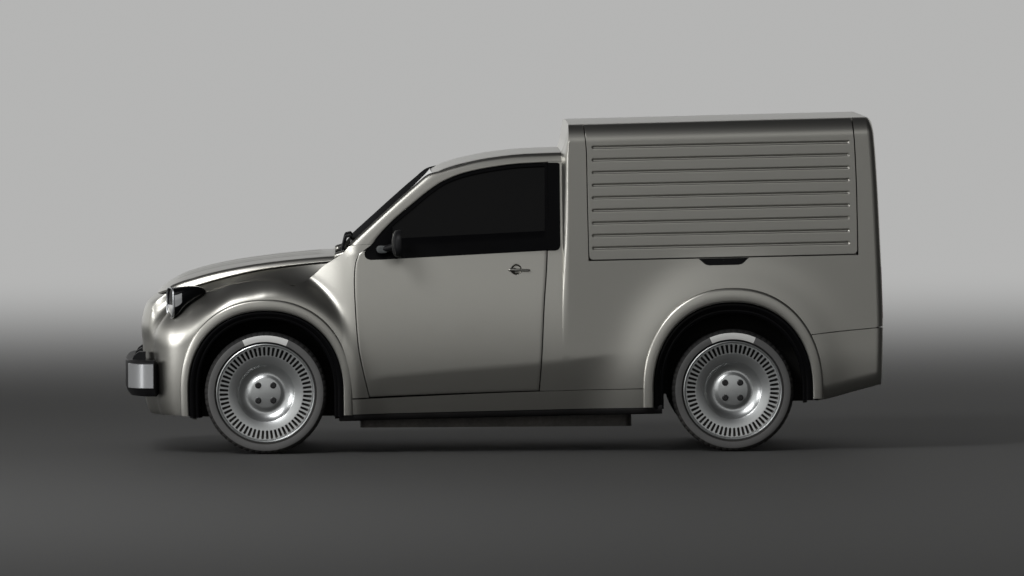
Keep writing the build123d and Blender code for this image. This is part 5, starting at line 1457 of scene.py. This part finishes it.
# seats: padded cushions on a plain base
seatCloth = finish("seat cloth", (0.030, 0.030, 0.032), (0.045, 0.044, 0.044), 0.85, 0.12, 1600, 12, 0.6,
                   wear=0.2, Sheen_Weight=0.3)


# crowned pad: a rounded block whose faces swell between sewn channels, leaned about the y axis
def cushion(centre, half, lean, power=3.2, channels=3):
    u = np.linspace(-math.pi / 2, math.pi / 2, 41)[:, None]
    v = np.linspace(0, 2 * math.pi, 73)[None, :]
    cu, su = oval(u, power)
    cv, sv = oval(v, power)
    x, y, z = half[0] * cu * cv, half[1] * cu * sv, half[2] * su * np.ones_like(v)
    sewn = np.abs(np.sin(math.pi * channels * (x / half[0] + 1) / 2)) ** 0.35
    crowned = z * (1 + 0.16 * (1 - (x / half[0]) ** 2) * (1 - (y / half[1]) ** 2))
    z = crowned - 0.006 * np.sign(z) * (1 - sewn) * (np.abs(y / half[1]) < 0.72)
    c, s = math.cos(lean), math.sin(lean)
    return grid(np.stack([centre[0] + c * x - s * z, centre[1] + y, centre[2] + s * x + c * z], -1))


for side, hand in (("left", -1), ("right", 1)):
    y = 0.37 * hand
    parts = {
        "cushion": cushion((-0.135, y, 0.550), (0.235, 0.235, 0.072), math.radians(4)),
        "back": cushion((0.155, y, 0.880), (0.310, 0.230, 0.062), math.radians(79)),
        "headrest": cushion((0.233, y, 1.275), (0.095, 0.130, 0.045), math.radians(84), channels=1),
    }
    for part, sheet in parts.items():
        stands = ["seats"] if part == "cushion" else ()
        piece = addPiece(f"seat_{part}_{side}", [sheet], seatCloth, slot="seat_cloth", stands=stands)
    base = rod(np.array([(-0.09, y, 0.30), (-0.09, y, 0.301), (-0.09, y, 0.49), (-0.09, y, 0.491)]),
               np.array([0.001, 0.22, 0.20, 0.001]), flat=0.85, up=(1, 0, 0), count=32)
    posts = [rod(np.array([(0.222, y + k, 1.13), (0.232, y + k, 1.21)]), 0.006, up=(1, 0, 0))
             for k in (-0.06, 0.06)]
    addPiece(f"seat_base_{side}", [base] + posts, blackPlastic, slot="cabin_plastic")
print("seats made")

# studio: a very large grey floor that turns into a pale distance, a world that is pale at the
# horizon and dark overhead, a key lamp from the front left and two fills
studio = {
    "floor": (0.070, 0.070, 0.069), "far": (0.46, 0.46, 0.455),
    "pale": (0.72, 0.72, 0.71), "overhead": (0.020, 0.020, 0.022),
    "fade": (3.0, 30.0),  # metres behind the van over which the floor turns into the distance
    "rise": (0.16, 0.60),  # upward part of a direction over which the world turns dark
    # from and to, as the backward part of a direction, and the brightness at each end
    "sideways": (-0.30, 0.75, 1.25, 0.06),
    "ambient": 0.28,
    "key": ((-5.6, -8.0, 7.8), 4.0, 600),  # place, size and power of each lamp
    "side": ((-9.0, -4.0, 2.2), 2.5, 160),
    "rear": ((7.0, 6.0, 4.0), 8.0, 90),
    "distance": 60.0, "elevation": 2.0, "azimuth": -0.8,
    "aim": (0.060, 0.0, 0.8676), "width": 5.6423, "roll": -0.302,
}
bpy.ops.mesh.primitive_plane_add(size=800, location=(0, 0, 0))
floor = bpy.context.object
floor.name = "studio_floor"
floorPaint = bpy.data.materials.new("studio floor")
floorPaint.use_nodes = True
nodes, links = floorPaint.node_tree.nodes, floorPaint.node_tree.links
lit = nodes["Principled BSDF"]
lit.inputs["Base Color"].default_value = (*studio["floor"], 1)
lit.inputs["Roughness"].default_value = 0.75
lit.inputs["Specular IOR Level"].default_value = 0.2
far = nodes.new("ShaderNodeEmission")
far.inputs["Color"].default_value = (*studio["far"], 1)
place = nodes.new("ShaderNodeTexCoord")
apart = nodes.new("ShaderNodeSeparateXYZ")
away = nodes.new("ShaderNodeMapRange")
away.interpolation_type = "SMOOTHERSTEP"
away.inputs["From Min"].default_value, away.inputs["From Max"].default_value = studio["fade"]
blend = nodes.new("ShaderNodeMixShader")
links.new(place.outputs["Object"], apart.inputs[0])
links.new(apart.outputs["Y"], away.inputs["Value"])


# one where a camera, glossy or transmission ray arrives: the rays that show the background
def seenRays(nodes, links):
    rays = nodes.new("ShaderNodeLightPath")
    total = None
    for name in ("Is Camera Ray", "Is Glossy Ray", "Is Transmission Ray"):
        if total is None:
            total = rays.outputs[name]
            continue
        more = nodes.new("ShaderNodeMath")
        more.operation = "MAXIMUM"
        links.new(total, more.inputs[0])
        links.new(rays.outputs[name], more.inputs[1])
        total = more.outputs[0]
    return total


seen = times(floorPaint.node_tree, away.outputs["Result"], seenRays(nodes, links))
links.new(seen, blend.inputs["Fac"])
links.new(lit.outputs["BSDF"], blend.inputs[1])
links.new(far.outputs["Emission"], blend.inputs[2])
links.new(blend.outputs["Shader"], nodes["Material Output"].inputs["Surface"])
floor.data.materials.append(floorPaint)

world = bpy.data.worlds.new("studio")
bpy.context.scene.world = world
world.use_nodes = True
nodes, links = world.node_tree.nodes, world.node_tree.links
ambient = nodes["Background"]
ambient.inputs["Color"].default_value = (*studio["pale"], 1)
ambient.inputs["Strength"].default_value = studio["ambient"]
shown = nodes.new("ShaderNodeBackground")
direction = nodes.new("ShaderNodeTexCoord")
split = nodes.new("ShaderNodeSeparateXYZ")
height = nodes.new("ShaderNodeMapRange")
height.interpolation_type = "SMOOTHSTEP"
height.inputs["From Min"].default_value, height.inputs["From Max"].default_value = studio["rise"]
shade = nodes.new("ShaderNodeMix")
shade.data_type = "RGBA"
shade.inputs["A"].default_value = (*studio["pale"], 1)
shade.inputs["B"].default_value = (*studio["overhead"], 1)
choose = nodes.new("ShaderNodeMixShader")
links.new(direction.outputs["Generated"], split.inputs[0])
links.new(split.outputs["Z"], height.inputs["Value"])
links.new(height.outputs["Result"], shade.inputs["Factor"])
sideways = nodes.new("ShaderNodeMapRange")
sideways.interpolation_type = "SMOOTHSTEP"
for socket, value in zip(("From Min", "From Max", "To Min", "To Max"), studio["sideways"]):
    sideways.inputs[socket].default_value = value
dim = nodes.new("ShaderNodeVectorMath")
dim.operation = "SCALE"
links.new(split.outputs["X"], sideways.inputs["Value"])
links.new(shade.outputs["Result"], dim.inputs[0])
links.new(sideways.outputs["Result"], dim.inputs["Scale"])
links.new(dim.outputs["Vector"], shown.inputs["Color"])
links.new(seenRays(nodes, links), choose.inputs["Fac"])
links.new(ambient.outputs["Background"], choose.inputs[1])
links.new(shown.outputs["Background"], choose.inputs[2])
links.new(choose.outputs["Shader"], nodes["World Output"].inputs["Surface"])
for name in ("key", "side", "rear"):
    spot, size, energy = studio[name]
    lampData = bpy.data.lights.new(name, "AREA")
    lampData.shape, lampData.size, lampData.energy = "DISK", size, energy
    lampObject = bpy.data.objects.new(name, lampData)
    lampObject.location = spot
    lampObject.rotation_euler = (Vector((0, 0, 0.8)) - Vector(spot)).to_track_quat("-Z", "Y").to_euler()
    bpy.context.scene.collection.objects.link(lampObject)

azimuth, elevation = math.radians(studio["azimuth"]), math.radians(studio["elevation"])
level = math.cos(elevation)
back = Vector((math.sin(azimuth) * level, -math.cos(azimuth) * level, math.sin(elevation)))
camera = bpy.data.cameras.new("camera")
camera.sensor_width = 36
camera.lens = camera.sensor_width * studio["distance"] / studio["width"]
camera.clip_end = 900
cameraObject = bpy.data.objects.new("camera", camera)
bpy.context.scene.collection.objects.link(cameraObject)
view = (-back).to_track_quat("-Z", "Y") @ Quaternion((0, 0, 1), math.radians(studio["roll"]))
cameraObject.location = Vector(studio["aim"]) + back * studio["distance"]
cameraObject.rotation_euler = view.to_euler()
bpy.context.scene.camera = cameraObject
bpy.context.scene.render.resolution_x, bpy.context.scene.render.resolution_y = 1024, 576
bpy.context.scene.view_settings.view_transform = "Standard"
print("studio made")
